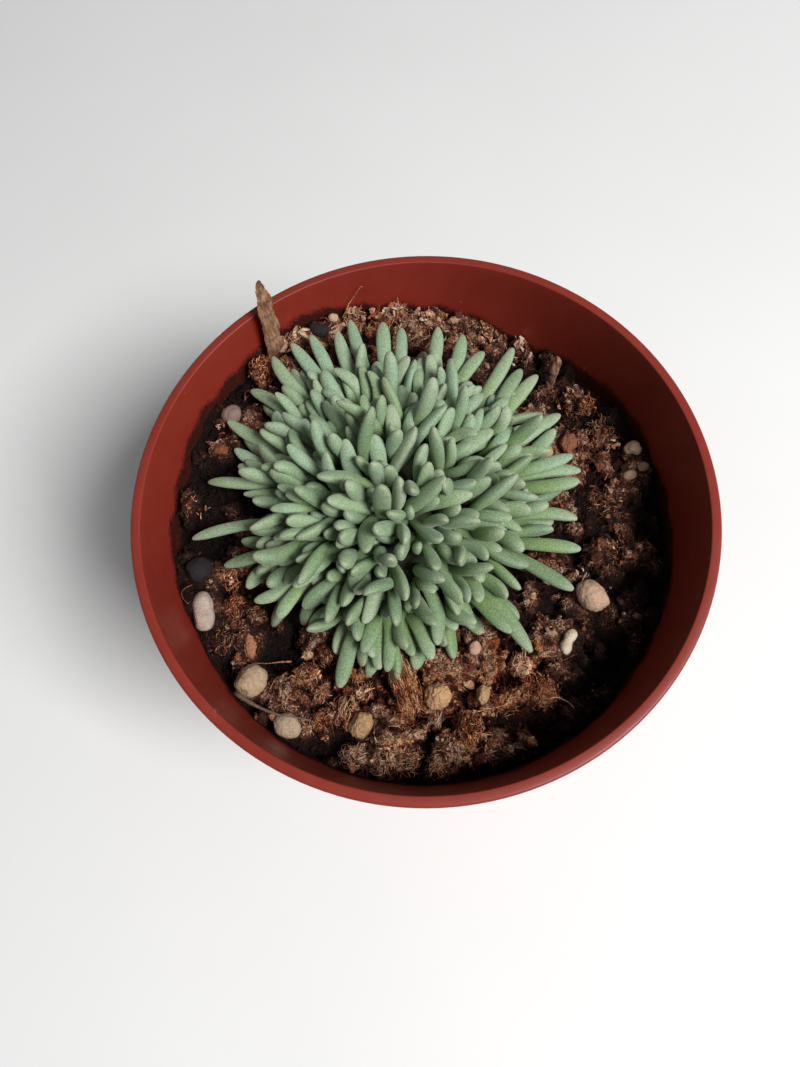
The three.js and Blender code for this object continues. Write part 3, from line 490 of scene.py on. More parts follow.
class PotLook(bpy.types.PropertyGroup):
    steps: IntProperty(name="Steps", description="Faces round the pot", default=160, min=24)
    plastic: FloatVectorProperty(
        name="Plastic", description="Colour of the pot", subtype="COLOR", size=3, min=0, max=1,
        default=(0.222, 0.0228, 0.0126))
    roughness: FloatProperty(
        name="Roughness", description="How matte the plastic is", default=0.42, min=0, max=1)


class PlantLook(bpy.types.PropertyGroup):
    lit: FloatVectorProperty(
        name="Leaf", description="Colour of the grown leaf", subtype="COLOR", size=3, min=0, max=1,
        default=(0.290, 0.395, 0.218))
    base: FloatVectorProperty(
        name="Leaf base", description="Colour of the leaf near its foot", subtype="COLOR", size=3,
        min=0, max=1, default=(0.205, 0.320, 0.098))
    grain: FloatProperty(
        name="Papillae", description="Distance between the papillae of the skin", default=0.00025,
        min=0.00005, subtype="DISTANCE", unit="LENGTH", precision=5)


class SoilLook(bpy.types.PropertyGroup):
    steps: IntProperty(name="Steps", description="Faces round the soil", default=640, min=60)
    crumbs: IntProperty(name="Crumbs", description="Loose crumbs of peat", default=8600, min=0)
    fibres: IntProperty(name="Fibres", description="Loose fibres of peat", default=7200, min=0)
    dark: FloatVectorProperty(
        name="Dark peat", description="Colour of the dark peat", subtype="COLOR", size=3, min=0,
        max=1, default=(0.013, 0.008, 0.0065))
    brown: FloatVectorProperty(
        name="Brown peat", description="Colour of the brown peat", subtype="COLOR", size=3, min=0,
        max=1, default=(0.160, 0.058, 0.036))


class StageLook(bpy.types.PropertyGroup):
    lens: FloatProperty(
        name="Lens", description="Focal length of the camera", default=26.317, min=5,
        subtype="DISTANCE_CAMERA", unit="CAMERA")
    key: FloatProperty(
        name="Key light", description="Power of the main light", default=7.4, min=0,
        subtype="POWER", unit="POWER")
    sky: FloatProperty(
        name="Sky", description="Strength of the light from all round", default=0.205, min=0)


# Modelling helpers

def deselect():
    bpy.ops.object.select_all(action="DESELECT")


def activate(piece):
    deselect()
    piece.select_set(True)
    bpy.context.view_layer.objects.active = piece


def finished(name):
    """Puts the active object's place into its mesh and names it."""
    piece = bpy.context.active_object
    bpy.ops.object.transform_apply(location=True, rotation=True, scale=True)
    piece.name = name
    piece.data.name = name
    return piece


def join_to_part(piece, slot, *nodes):
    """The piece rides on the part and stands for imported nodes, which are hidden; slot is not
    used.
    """
    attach(piece, "root")
    if nodes:
        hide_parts(*nodes)
    return piece


def smooth(piece, degrees):
    activate(piece)
    bpy.ops.object.shade_smooth_by_angle(angle=math.radians(degrees))


def select_vertices(piece, chosen):
    """Enters edit mode with the vertices selected for which chosen(vertex) holds."""
    activate(piece)
    bpy.ops.object.mode_set(mode="EDIT")
    bpy.ops.mesh.select_mode(type="VERT")
    bpy.ops.mesh.select_all(action="DESELECT")
    bpy.ops.object.mode_set(mode="OBJECT")
    for vertex in piece.data.vertices:
        vertex.select = bool(chosen(vertex))
    bpy.ops.object.mode_set(mode="EDIT")


def turned(name, profile, steps):
    """A profile of (radius, height), from the axis back to the axis, turned round Z."""
    points = [Vector((radius * MM, 0, height * MM)) for radius, height in profile]
    deselect()
    bpy.ops.mesh.primitive_plane_add(size=MM)
    piece = bpy.context.active_object
    select_vertices(piece, lambda vertex: vertex.index > 0)
    bpy.ops.mesh.delete(type="VERT")
    bpy.ops.mesh.select_all(action="SELECT")
    start = piece.data.vertices[0].co.copy()
    bpy.ops.transform.translate(value=points[0] - start)
    for start, end in zip(points, points[1:]):
        bpy.ops.mesh.extrude_vertices_move(TRANSFORM_OT_translate={"value": end - start})
    bpy.ops.mesh.select_all(action="SELECT")
    bpy.ops.mesh.spin(
        steps=steps, dupli=False, angle=2 * math.pi, center=(0, 0, 0), axis=(0, 0, 1))
    bpy.ops.mesh.select_all(action="SELECT")
    bpy.ops.mesh.remove_doubles(threshold=SEAM * MM)
    bpy.ops.mesh.normals_make_consistent(inside=False)
    bpy.ops.object.mode_set(mode="OBJECT")
    return finished(name)


def linked(name, data):
    """A new object in the scene that shows the data."""
    thing = bpy.data.objects.new(name, data)
    bpy.context.scene.collection.objects.link(thing)
    return thing


def apply_modifier(piece, label, kind, **settings):
    activate(piece)
    modifier = piece.modifiers.new(label, kind)
    for key, value in settings.items():
        setattr(modifier, key, value)
    bpy.ops.object.modifier_apply(modifier=modifier.name)


def positions(mesh):
    places = np.empty(len(mesh.vertices) * 3)
    mesh.vertices.foreach_get("co", places)
    return places.reshape(-1, 3)


def set_positions(mesh, places):
    mesh.vertices.foreach_set("co", np.ascontiguousarray(places).ravel())
    mesh.update()


def add_values(mesh, name, values):
    attribute = mesh.attributes.new(name, "FLOAT", "POINT")
    attribute.data.foreach_set("value", np.ascontiguousarray(values, dtype=np.float32))


def finger(sides, cuts, flatness, thinness=1):
    """A finger from Z = 0 to 1 of half width 1, cut into rings and shaped, with a flat +Y face."""
    deselect()
    bpy.ops.mesh.primitive_cylinder_add(
        vertices=sides, radius=1, depth=1, location=(0, 0, 0.5), end_fill_type="TRIFAN")
    template = finished("finger")
    for height, width in cuts:
        if 0 < height < 1:
            bpy.ops.object.mode_set(mode="EDIT")
            bpy.ops.mesh.select_all(action="SELECT")
            bpy.ops.mesh.bisect(plane_co=(0, 0, height), plane_no=(0, 0, 1))
            bpy.ops.object.mode_set(mode="OBJECT")
        select_vertices(template, lambda vertex: abs(vertex.co.z - height) < 1e-4)
        bpy.ops.transform.resize(value=(width, width, 1), center_override=(0, 0, height))
        bpy.ops.object.mode_set(mode="OBJECT")
    select_vertices(template, lambda vertex: vertex.co.y > 0.01)
    bpy.ops.transform.resize(value=(1, flatness, 1), center_override=(0, 0, 0))
    bpy.ops.mesh.select_all(action="SELECT")
    bpy.ops.transform.resize(value=(1, thinness, 1), center_override=(0, 0, 0))
    bpy.ops.object.mode_set(mode="OBJECT")
    return template


def on_lines(lines, t):
    """Points and directions at t (0 to 1) on smooth lines through knots."""
    before = 2 * lines[:, :1] - lines[:, 1:2]
    after = 2 * lines[:, -1:] - lines[:, -2:-1]
    knots = np.concatenate([before, lines, after], axis=1)
    last = lines.shape[1] - 1
    i = np.minimum((t * last).astype(int), last - 1)
    f = (t * last - i)[None, :, None]
    a, b, c, d = (knots[:, i + k] for k in range(4))
    bend = 2 * a - 5 * b + 4 * c - d
    twist = 3 * b - a - 3 * c + d
    points = 0.5 * (2 * b + (c - a) * f + bend * f ** 2 + twist * f ** 3)
    ways = 0.5 * ((c - a) + 2 * bend * f + 3 * twist * f ** 2)
    return points, ways / np.linalg.norm(ways, axis=2, keepdims=True)


def laid_copies(name, template, lines, half_widths, faces, values):
    """Copies of a finger along lines, one for each line, in one mesh.

    half_widths are per copy, or per copy and corner of the finger; values are per copy.
    """
    places = positions(template.data)
    corners = np.array([loop.vertex_index for loop in template.data.loops])
    totals = np.array([face.loop_total for face in template.data.polygons])
    t = np.clip(places[:, 2], 0, 1)
    points, ways = on_lines(lines, t)
    up = faces[:, None, :] - ways * (ways * faces[:, None, :]).sum(axis=2, keepdims=True)
    up /= np.linalg.norm(up, axis=2, keepdims=True) + 1e-9
    across = np.cross(up, ways)
    width = np.reshape(half_widths, (len(lines), -1, 1))
    spots = points + across * places[None, :, :1] * width + up * places[None, :, 1:2] * width
    count, size = len(lines), len(places)
    mesh = bpy.data.meshes.new(name)
    mesh.vertices.add(count * size)
    mesh.loops.add(count * len(corners))
    mesh.polygons.add(count * len(totals))
    shift = (np.arange(count) * size)[:, None]
    mesh.loops.foreach_set("vertex_index", (corners[None, :] + shift).ravel().astype(np.int32))
    all_totals = np.tile(totals, count)
    starts = np.concatenate([[0], np.cumsum(all_totals)[:-1]])
    mesh.polygons.foreach_set("loop_start", starts.astype(np.int32))
    mesh.update(calc_edges=True)
    set_positions(mesh, spots.reshape(-1, 3) * MM)
    mesh.validate()
    mesh.polygons.foreach_set("use_smooth", np.ones(len(mesh.polygons), dtype=bool))
    add_values(mesh, "along", np.tile(t, count))
    for key, value in values.items():
        add_values(mesh, key, np.repeat(value, size))
    return linked(name, mesh)


def remove(piece):
    mesh = piece.data
    bpy.data.objects.remove(piece)
    bpy.data.meshes.remove(mesh)


def roughen(piece, label, kind, size, strength, middle=0.5, **settings):
    """Pushes the surface in and out by a procedural texture, and applies it."""
    texture = bpy.data.textures.new(label, kind)
    texture.noise_scale = size * MM
    for key, value in settings.items():
        setattr(texture, key, value)
    apply_modifier(piece, label, "DISPLACE", texture=texture, texture_coords="LOCAL",
                   strength=strength * MM, mid_level=middle)


# Material helpers

def put(tree, kind, inputs=None, **settings):
    """Adds a node. An input is another node's socket or a value."""
    node = tree.nodes.new(kind)
    for key, value in settings.items():
        setattr(node, key, value)
    for key, value in (inputs or {}).items():
        if isinstance(value, bpy.types.NodeSocket):
            tree.links.new(value, node.inputs[key])
        else:
            node.inputs[key].default_value = value
    return node


def ramp(tree, factor, stops):
    """A colour ramp. stops are (position, colour)."""
    node = put(tree, "ShaderNodeValToRGB", {"Fac": factor})
    elements = node.color_ramp.elements
    while len(elements) < len(stops):
        elements.new(0.5)
    for element, (position, colour) in zip(elements, stops):
        element.position = position
        element.color = (*colour, 1)
    return node.outputs["Color"]


def mix(tree, factor, first, second, blend="MIX"):
    node = put(tree, "ShaderNodeMix", data_type="RGBA", blend_type=blend)
    for socket, value in ((0, factor), (6, first), (7, second)):
        if isinstance(value, bpy.types.NodeSocket):
            tree.links.new(value, node.inputs[socket])
        elif socket == 0:
            node.inputs[socket].default_value = value
        else:
            node.inputs[socket].default_value = (*value, 1)
    return node.outputs[2]


def maths(tree, operation, first, second):
    return put(tree, "ShaderNodeMath", {0: first, 1: second}, operation=operation).outputs[0]


def times(tree, first, second):
    return maths(tree, "MULTIPLY", first, second)


def total(tree, *values):
    result = values[0]
    for value in values[1:]:
        result = maths(tree, "ADD", result, value)
    return result


def remap(tree, value, low, high, at_low=0.0, at_high=1.0):
    """A value of low becomes at_low and one of high becomes at_high, and none passes them."""
    return put(tree, "ShaderNodeMapRange", {
        "Value": value, "From Min": low, "From Max": high, "To Min": at_low,
        "To Max": at_high}).outputs["Result"]


def scaled(colour, factor, extra=0.0):
    return tuple(factor * channel + extra for channel in colour)


def tinted(colour, tint):
    return tuple(channel * share for channel, share in zip(colour, tint))


def plain_material(name, roughness, **constants):
    """A material with a Principled BSDF whose constant values sit on its sockets."""
    material = bpy.data.materials.new(name)
    material.use_nodes = True
    shader = material.node_tree.nodes["Principled BSDF"]
    shader.inputs["Roughness"].default_value = roughness
    for key, value in constants.items():
        shader.inputs[key.replace("_", " ")].default_value = value
    return material, material.node_tree, shader


def shared_group(name, inputs, outputs, fill):
    """A node group that is made once. fill gives the values of its outputs, in their order."""
    group = bpy.data.node_groups.get(name)
    if group:
        return group
    group = bpy.data.node_groups.new(name, "ShaderNodeTree")
    for label, default in inputs:
        socket = group.interface.new_socket(
            name=label, in_out="INPUT", socket_type="NodeSocketFloat")
        socket.default_value = default
    for label in outputs:
        group.interface.new_socket(name=label, in_out="OUTPUT", socket_type="NodeSocketFloat")
    given = put(group, "NodeGroupInput").outputs
    result = put(group, "NodeGroupOutput")
    place = put(group, "ShaderNodeTexCoord").outputs["Object"]
    scale = maths(group, "DIVIDE", 1.0, given["Size"])
    for label, value in zip(outputs, fill(group, given, place, scale)):
        group.links.new(value, result.inputs[label])
    return group


def fill_grain(group, given, place, scale):
    """Raised grains and pits: a mask of the grains' tops and a height."""
    cells = put(group, "ShaderNodeTexVoronoi", {
        "Vector": place, "Scale": scale, "Randomness": 0.8})
    tops = remap(group, cells.outputs["Distance"], 0.1, 0.55, 1.0, 0.0)
    coarse = put(group, "ShaderNodeTexNoise", {
        "Vector": place, "Scale": times(group, scale, 0.22), "Detail": 4.0})
    swell = times(group, coarse.outputs["Fac"], given["Unevenness"])
    return tops, total(group, times(group, tops, 0.5), swell)


def fill_mottle(group, given, place, scale):
    """Soft blotches in two sizes, from 0 to 1."""
    for factor in (1.0, 4.3):
        cloud = put(group, "ShaderNodeTexNoise", {
            "Vector": place, "Scale": times(group, scale, factor), "Detail": given["Detail"],
            "Roughness": 0.6})
        yield remap(group, cloud.outputs["Fac"], 0.3, 0.7)


def fill_felt(group, given, place, scale):
    """Matted thin strands: 1 on a strand, 0 between the strands."""
    layers = []
    for factor in (1.0, 1.9):
        cloud = put(group, "ShaderNodeTexNoise", {
            "Vector": place, "Scale": times(group, scale, factor), "Detail": 2.0,
            "Roughness": 0.55, "Distortion": 1.2})
        away = maths(group, "ABSOLUTE", maths(group, "SUBTRACT", cloud.outputs["Fac"], 0.5), 0.0)
        layers.append(remap(group, away, 0.008, 0.055, 1.0, 0.0))
    return [maths(group, "MAXIMUM", *layers)]


GROUPS = {
    "fine grain": ([("Size", 0.0003), ("Unevenness", 0.5)], ["Tops", "Height"], fill_grain),
    "soft mottle": ([("Size", 0.003), ("Detail", 6.0)], ["Blotches", "Fine blotches"], fill_mottle),
    "felt": ([("Size", 0.001)], ["Strands"], fill_felt),
}


def use_group(tree, name, **values):
    node = put(tree, "ShaderNodeGroup")
    node.node_tree = shared_group(name, *GROUPS[name])
    for key, value in values.items():
        node.inputs[key].default_value = value
    return node.outputs


def paint(tree, shader, colour):
    tree.links.new(colour, shader.inputs["Base Color"])


def add_bump(tree, shader, height, strength, distance):
    bump = put(tree, "ShaderNodeBump", {
        "Height": height, "Strength": strength, "Distance": distance * MM})
    tree.links.new(bump.outputs["Normal"], shader.inputs["Normal"])


def value_of(tree, name):
    return put(tree, "ShaderNodeAttribute", attribute_name=name).outputs["Fac"]


def plastic_material(look):
    """Satin plastic with dust and faint scratches, stained and darkened by painted shade where the
    attribute says so.
    """
    material, tree, shader = plain_material(
        "terracotta plastic", look.roughness, Specular_IOR_Level=0.36)
    mottle = use_group(tree, "soft mottle", Size=0.011, Detail=5.0)
    body = mix(tree, mottle["Blotches"], scaled(look.plastic, 0.92),
               scaled(look.plastic, 1.06, 0.002))
    place = put(tree, "ShaderNodeTexCoord").outputs["Object"]
    dust = put(tree, "ShaderNodeTexVoronoi", {"Vector": place, "Scale": 620.0})
    specks = remap(tree, dust.outputs["Distance"], 0.05, 0.11, 0.4, 0.0)
    rare = remap(tree, mottle["Fine blotches"], 0.72, 0.95)
    dusty = mix(tree, times(tree, specks, rare), body, DUST)
    stretched = put(tree, "ShaderNodeMapping", {
        "Vector": place, "Scale": (900.0, 60.0, 300.0), "Rotation": (0.3, 0.2, 0.7)})
    marks = put(tree, "ShaderNodeTexNoise", {
        "Vector": stretched.outputs["Vector"], "Scale": 1.0, "Detail": 1.0})
    scratches = remap(tree, marks.outputs["Fac"], 0.74, 0.79, 0.0, 0.25)
    scratched = mix(tree, scratches, dusty, SCRATCH)
    stain_and_shade_noise = use_group(tree, "soft mottle", Size=0.0022, Detail=8.0)
    ragged = times(tree, maths(tree, "SUBTRACT", stain_and_shade_noise["Fine blotches"], 0.5), 0.6)
    # Soil stain and painted shade on the inner wall, darkest at the peat
    stain_and_shade = remap(tree, total(tree, value_of(tree, "soiled_and_shaded"), ragged), 0.3, 0.95, 0.0, 0.9)
    paint(tree, shader, mix(tree, stain_and_shade, scratched, WALL_STAIN_AND_SHADE))
    gloss = remap(tree, mottle["Fine blotches"], 0.0, 1.0, look.roughness - 0.05,
                  look.roughness + 0.12)
    tree.links.new(gloss, shader.inputs["Roughness"])
    grain = use_group(tree, "fine grain", Size=0.0007, Unevenness=0.6)
    add_bump(tree, shader, grain["Height"], 0.10, 0.05)
    return material


def leaf_material(look):
    """Leaf skin: blue-green with pale papillae, greener to the root with a painted glow in the
    green, and painted shade at the root.
    """
    material, tree, shader = plain_material(
        "glaucous leaf", 0.62, Sheen_Weight=0.22, Sheen_Roughness=0.4)
    along = value_of(tree, "along")
    # The tone runs from a darker to a paler copy of the leaf colour; besides its random part it
    # holds painted shade on the front leaves and painted light on the back ones
    dark = tinted(look.lit, (0.60, 0.68, 0.62))
    blue = tinted(look.lit, (0.92, 0.99, 1.16))
    body = ramp(tree, value_of(tree, "tone"), [
        (0.0, dark), (0.4, tuple(look.lit)), (0.7, blue), (0.9, LEAF_PALE), (1.0, LEAF_PALEST)])
    # The green base, which also carries a painted glow, reaches as far up the leaf as the attribute
    # says
    reach = times(tree, value_of(tree, "green_and_glow"), 0.62)
    foot = remap(tree, maths(tree, "SUBTRACT", along, reach), 0.0, 0.46, 1.0, 0.0)
    green_and_glow = mix(tree, foot, body, tuple(look.base))
    tipped = mix(tree, remap(tree, along, 0.84, 1.0, 0.0, 0.45), green_and_glow, LEAF_TIP)
    mottle = use_group(tree, "soft mottle", Size=0.0016, Detail=3.0)
    blotched = mix(tree, times(tree, mottle["Blotches"], 0.20), tipped, LEAF_BLOTCH)
    # Painted shade towards the leaf root
    shaded = mix(tree, remap(tree, along, 0.04, 0.46, 0.85, 0.0), blotched, LEAF_ROOT_PAINTED_SHADE)
    grain = use_group(tree, "fine grain", Size=look.grain, Unevenness=0.35)
    between = remap(tree, grain["Tops"], 0.0, 0.35, 0.24, 0.0)
    skin = mix(tree, between, shaded, BETWEEN_PAPILLAE)
    frosted = mix(tree, times(tree, grain["Tops"], 0.17), skin, PAPILLA)
    pits = remap(tree, mottle["Fine blotches"], 0.62, 1.0, 0.0, 0.2)
    paint(tree, shader, mix(tree, pits, frosted, LEAF_PIT))
    add_bump(tree, shader, grain["Height"], 0.6, 0.10)
    return material


def stem_material():
    material, tree, shader = plain_material("old stems in painted shade", 0.9)
    mottle = use_group(tree, "soft mottle", Size=0.0025, Detail=6.0)
    paint(tree, shader, ramp(tree, mottle["Blotches"], STEMS_IN_PAINTED_SHADE))
    add_bump(tree, shader, mottle["Fine blotches"], 0.6, 0.3)
    return material


def peat_tones(tree, look, tone, red):
    """Peat and its crumbs and fibres by tone, from wet black to straw, brown or red."""
    browns = ramp(tree, tone, [
        (0.0, tuple(look.dark)), (0.22, (0.046, 0.022, 0.016)), (0.42, tuple(look.brown)),
        (0.60, (0.34, 0.145, 0.085)), (0.78, (0.52, 0.28, 0.175)), (0.92, (0.68, 0.46, 0.33)),
        (1.0, (0.78, 0.61, 0.48))])
    reds = ramp(tree, tone, [
        (0.0, tuple(look.dark)), (0.22, (0.058, 0.011, 0.006)), (0.42, (0.23, 0.048, 0.021)),
        (0.60, (0.52, 0.125, 0.042)), (0.78, (0.78, 0.27, 0.085)), (0.92, (0.86, 0.44, 0.18)),
        (1.0, (0.88, 0.62, 0.36))])
    return mix(tree, red, browns, reds)


def peat_material(look):
    """Peat: black in its hollows through painted shade, brown on its lumps, rusty where the
    attribute says so.
    """
    material, tree, shader = plain_material("peat", 0.93, Specular_IOR_Level=0.12)
    mottle = use_group(tree, "soft mottle", Size=0.0024, Detail=8.0)
    fine = use_group(tree, "soft mottle", Size=0.00055, Detail=6.0)
    felt = use_group(tree, "felt", Size=0.0011)
    rusty = value_of(tree, "rusty")
    place = put(tree, "ShaderNodeTexCoord").outputs["Object"]
    cells = put(tree, "ShaderNodeTexVoronoi", {"Vector": place, "Scale": 1900.0})
    chance = put(tree, "ShaderNodeSeparateColor", {"Color": cells.outputs["Color"]})
    tops = remap(tree, cells.outputs["Distance"], 0.25, 0.6, 1.0, 0.0)
    grains = times(tree, remap(tree, chance.outputs["Red"], 0.4, 1.0, 0.0, 0.42), tops)
    layers = total(tree, times(tree, fine["Blotches"], 0.30), times(tree, mottle["Blotches"], 0.20),
                   times(tree, rusty, 0.30), times(tree, felt["Strands"], 0.34), grains)
    # The attribute holds painted shade as well as the tone of the matted lumps
    tone = total(tree, times(tree, layers, value_of(tree, "painted_shade_and_clod_tone")), times(tree, grains, 0.3))
    paint(tree, shader, peat_tones(tree, look, tone, rusty))
    add_bump(tree, shader, total(tree, fine["Blotches"], felt["Strands"], tops), 1.0, 0.45)
    return material


def loose_material(look, name, depth):
    """Loose peat. depth is that of its bump in millimetres."""
    material, tree, shader = plain_material(name, 0.9, Specular_IOR_Level=0.15)
    fine = use_group(tree, "soft mottle", Size=0.0005, Detail=5.0)
    felt = use_group(tree, "felt", Size=0.0008)
    matted = remap(tree, felt["Strands"], 0.0, 1.0, 0.80, 1.65)
    tone = times(tree, value_of(tree, "tone"), matted)
    body = peat_tones(tree, look, tone, value_of(tree, "red"))
    paint(tree, shader, mix(tree, times(tree, fine["Blotches"], 0.36), body, PEAT_DUST))
    add_bump(tree, shader, total(tree, fine["Fine blotches"], felt["Strands"]), 0.9, depth)
    return material


def stone_material(name, first, second, fibrous):
    material, tree, shader = plain_material(name, 0.88, Specular_IOR_Level=0.3)
    mottle = use_group(tree, "soft mottle", Size=0.0013, Detail=7.0)
    body = mix(tree, mottle["Blotches"], first, second)
    fine = use_group(tree, "soft mottle", Size=0.0005, Detail=5.0)
    pits = remap(tree, fine["Fine blotches"], 0.72, 1.0, 0.0, 0.7 if fibrous else 0.45)
    grain = use_group(tree, "fine grain", Size=0.0004, Unevenness=0.8)
    dusted = mix(tree, times(tree, grain["Tops"], 0.3), body, scaled(first, 1.35, 0.005))
    paint(tree, shader, mix(tree, pits, dusted, scaled(second, 0.28)))
    add_bump(tree, shader, grain["Height"], 0.8 if fibrous else 0.5, 0.22)
    return material


def bark_material(name, dark, pale, low, high):
    """Bark with strands along Z, reddish below the height low and dark above the height high."""
    material, tree, shader = plain_material(name, 0.9)
    place = put(tree, "ShaderNodeTexCoord").outputs["Object"]
    drawn = put(tree, "ShaderNodeMapping", {"Vector": place, "Scale": (1500.0, 1500.0, 230.0)})
    strands = put(tree, "ShaderNodeTexNoise", {
        "Vector": drawn.outputs["Vector"], "Scale": 1.0, "Detail": 5.0, "Roughness": 0.65})
    mottle = use_group(tree, "soft mottle", Size=0.003, Detail=6.0)
    middle = tuple((a + b) / 2 for a, b in zip(dark, pale))
    body = ramp(tree, strands.outputs["Fac"], [
        (0.32, scaled(dark, 0.35)), (0.46, dark), (0.58, middle), (0.72, pale)])
    aged = mix(tree, times(tree, mottle["Blotches"], 0.5), body, scaled(dark, 0.5))
    level = put(tree, "ShaderNodeSeparateXYZ", {"Vector": place}).outputs["Z"]
    foot = remap(tree, level, low * MM, (low + BARK_FOOT) * MM, 0.8, 0.0)
    footed = mix(tree, foot, aged, BARK_SOIL)
    tip = remap(tree, level, (high - BARK_TIP_FADE) * MM, (high + BARK_TIP_FADE) * MM, 0.0, 0.75)
    paint(tree, shader, mix(tree, tip, footed, BARK_TIP))
    add_bump(tree, shader, strands.outputs["Fac"], 1.0, 0.4)
    return material


def floor_material():
    material, tree, shader = plain_material("pale floor", 0.8)
    mottle = use_group(tree, "soft mottle", Size=0.08, Detail=4.0)
    paint(tree, shader, mix(tree, mottle["Blotches"], *FLOOR_PALE))
    return material


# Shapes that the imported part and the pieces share

def drawer(seed):
    """A seeded draw of numbers, the same here as in the part's source."""
    whole = 0xFFFFFFFF
    state = seed & whole

    def draw(low, high):
        nonlocal state
        state = (state + 0x6D2B79F5) & whole
        t = ((state ^ (state >> 15)) * (state | 1)) & whole
        t ^= (t + (((t ^ (t >> 7)) * (t | 61)) & whole)) & whole
        return low + (high - low) * (((t ^ (t >> 14)) & whole) / 4294967296)

    return draw


def inner_radius(z):
    """Radius of the pot's inner wall at a height."""
    return RIM_RADIUS - LIP_WIDTH - TAPER * (RIM_Z - z)


def soil_height(x, y):
    """Height of the soil's smooth surface at places."""
    x, y = np.asarray(x, dtype=float), np.asarray(y, dtype=float)
    turn = (np.degrees(np.arctan2(y, x)) + 360) % 360 / 30
    sector = np.floor(turn).astype(int)
    share = (1 - np.cos(math.pi * (turn - sector))) / 2
    count = len(SOIL_WALL_DEPTHS)
    wall_depth = (SOIL_WALL_DEPTHS[sector % count] * (1 - share)
                  + SOIL_WALL_DEPTHS[(sector + 1) % count] * share)
    out = np.minimum(np.hypot(x, y) / RIM_RADIUS, 1) ** 1.5
    depth = SOIL_MIDDLE_DEPTH * (1 - out) + wall_depth * out
    from_plant = np.hypot(x - CUSHION_CENTRE[0], y - CUSHION_CENTRE[1])
    near, far = SOIL_SMOOTH
    rough = np.clip((from_plant - near) / (far - near), 0, 1)
    waves = (0.5 * np.sin(0.52 * x + 1.3) * np.sin(0.47 * y + 0.4)
             + 0.35 * np.sin(0.9 * x + 0.75 * y) + 0.25 * np.sin(1.2 * y - 0.95 * x + 2))
    height = RIM_Z - depth + waves * rough
    for lump_x, lump_y, radius, rise in SOIL_LUMPS:
        away = np.hypot(x - lump_x, y - lump_y) / radius
        height = height + rise * np.clip(1 - away * away, 0, 1) ** 1.5
    return height


def direction(heading, slope):
    """The way of a length of 1 that heads and rises by these angles in radians."""
    return Vector((math.cos(heading) * math.cos(slope), math.sin(heading) * math.cos(slope),
                   math.sin(slope)))


def dome_point(share, turn):
    """The place on the dome at a share of its radius and a turn from +X."""
    x = CUSHION_CENTRE[0] + CUSHION_REACH[0] * share * math.cos(turn)
    y = (CUSHION_CENTRE[1] + CUSHION_REACH[1] * share * math.sin(turn)
         - DOME_LEAN * (1 - share * share))
    z = RIM_Z - CROWN_DEPTH - DOME_FALL * share ** DOME_POWER + DOME_TILT * share * math.sin(turn)
    return Vector((x, y, z))


def shoot_leaves(draw):
    """The leaf pairs of every shoot, one pair across the other."""
    leaves = []
    for i in range(SHOOTS):
        share = (i / (SHOOTS - 1)) ** SHOOT_SPREAD
        turn = math.radians(GOLDEN_ANGLE * i + FIRST_ANGLE) + draw(-0.2, 0.2)
        comb = draw(0.6, 1.15)
        away = Vector((math.cos(turn), math.sin(turn), 0))
        lean = math.radians(SHOOT_LEAN * share ** 0.8)
        axis = away * math.sin(lean)
        axis.z = math.cos(lean)
        side = Vector((axis.y, -axis.x, 0))
        if side.length < 0.05:
            side = Vector((1, 0, 0))
        side.normalize()
        spin = draw(0, math.pi)
        for order, (lengths, widths, wide) in enumerate(LEAF_PAIRS):
            for half in range(2):
                if share > 0.93 and order == 2 and half == 0:
                    continue
                about = spin + order * math.pi / 2 + half * math.pi + draw(-0.3, 0.3)
                outward = Matrix.Rotation(about, 3, axis) @ side
                opening = math.radians(wide + draw(-9, 9))
                length = draw(*lengths)
                width = draw(*widths)
                way = (axis * math.cos(opening) + outward * math.sin(opening)
                       + away * (share * comb * (0.3 + 0.3 * order))
                       + Vector((0, 0, LEAF_RISE))).normalized()
                bend = Matrix.Rotation(draw(0, 2 * math.pi), 3, axis) @ side
                bend = bend * (length * draw(0.03, 0.15))
                root = dome_point(share, turn) - axis * (1.0 + 0.4 * order)
                face = axis * math.sin(opening) - outward * math.cos(opening)
                leaves.append(Leaf(root, root + way * length, bend, face, width / 2, i))
    return leaves


def outer_leaves(draw):
    """The outermost leaves, whose tips the table gives."""
    leaves = []
    for order, (x, y, depth, length, width) in enumerate(OUTER_LEAVES):
        flat = Vector((x - CUSHION_CENTRE[0], y - CUSHION_CENTRE[1]))
        turn = math.atan2(flat.y / CUSHION_REACH[1], flat.x / CUSHION_REACH[0])
        rim = math.hypot(CUSHION_REACH[0] * math.cos(turn), CUSHION_REACH[1] * math.sin(turn))
        share = min(max((flat.length - 0.93 * length) / rim, 0.5), 0.86)
        root = dome_point(share, turn + draw(-0.12, 0.12)) + Vector((0, 0, -0.9))
        bend = Vector((draw(-0.7, 0.7), draw(-0.7, 0.7), draw(0.2, 1.4)))
        tip = Vector((x, y, RIM_Z - depth))
        leaves.append(Leaf(root, tip, bend, UPWARD, width / 2, -1 - order))
    return leaves


def close_pairs(places, leaf, knot, shoot):
    """Pairs of knots near each other, apart from those that belong together."""
    first, second = [], []
    for i in range(len(places) - 1):
        near = np.linalg.norm(places[i + 1:] - places[i], axis=1) < NEIGHBOUR_REACH
        j = np.nonzero(near)[0] + i + 1
        apart = (leaf[j] != leaf[i]) & ~((knot[i] <= 2) & (knot[j] <= 2))
        apart &= ~((shoot[j] == shoot[i]) & (knot[j] + knot[i] <= 4))
        j = j[apart]
        first.append(np.full(len(j), i))
        second.append(j)
    return np.concatenate(first), np.concatenate(second)


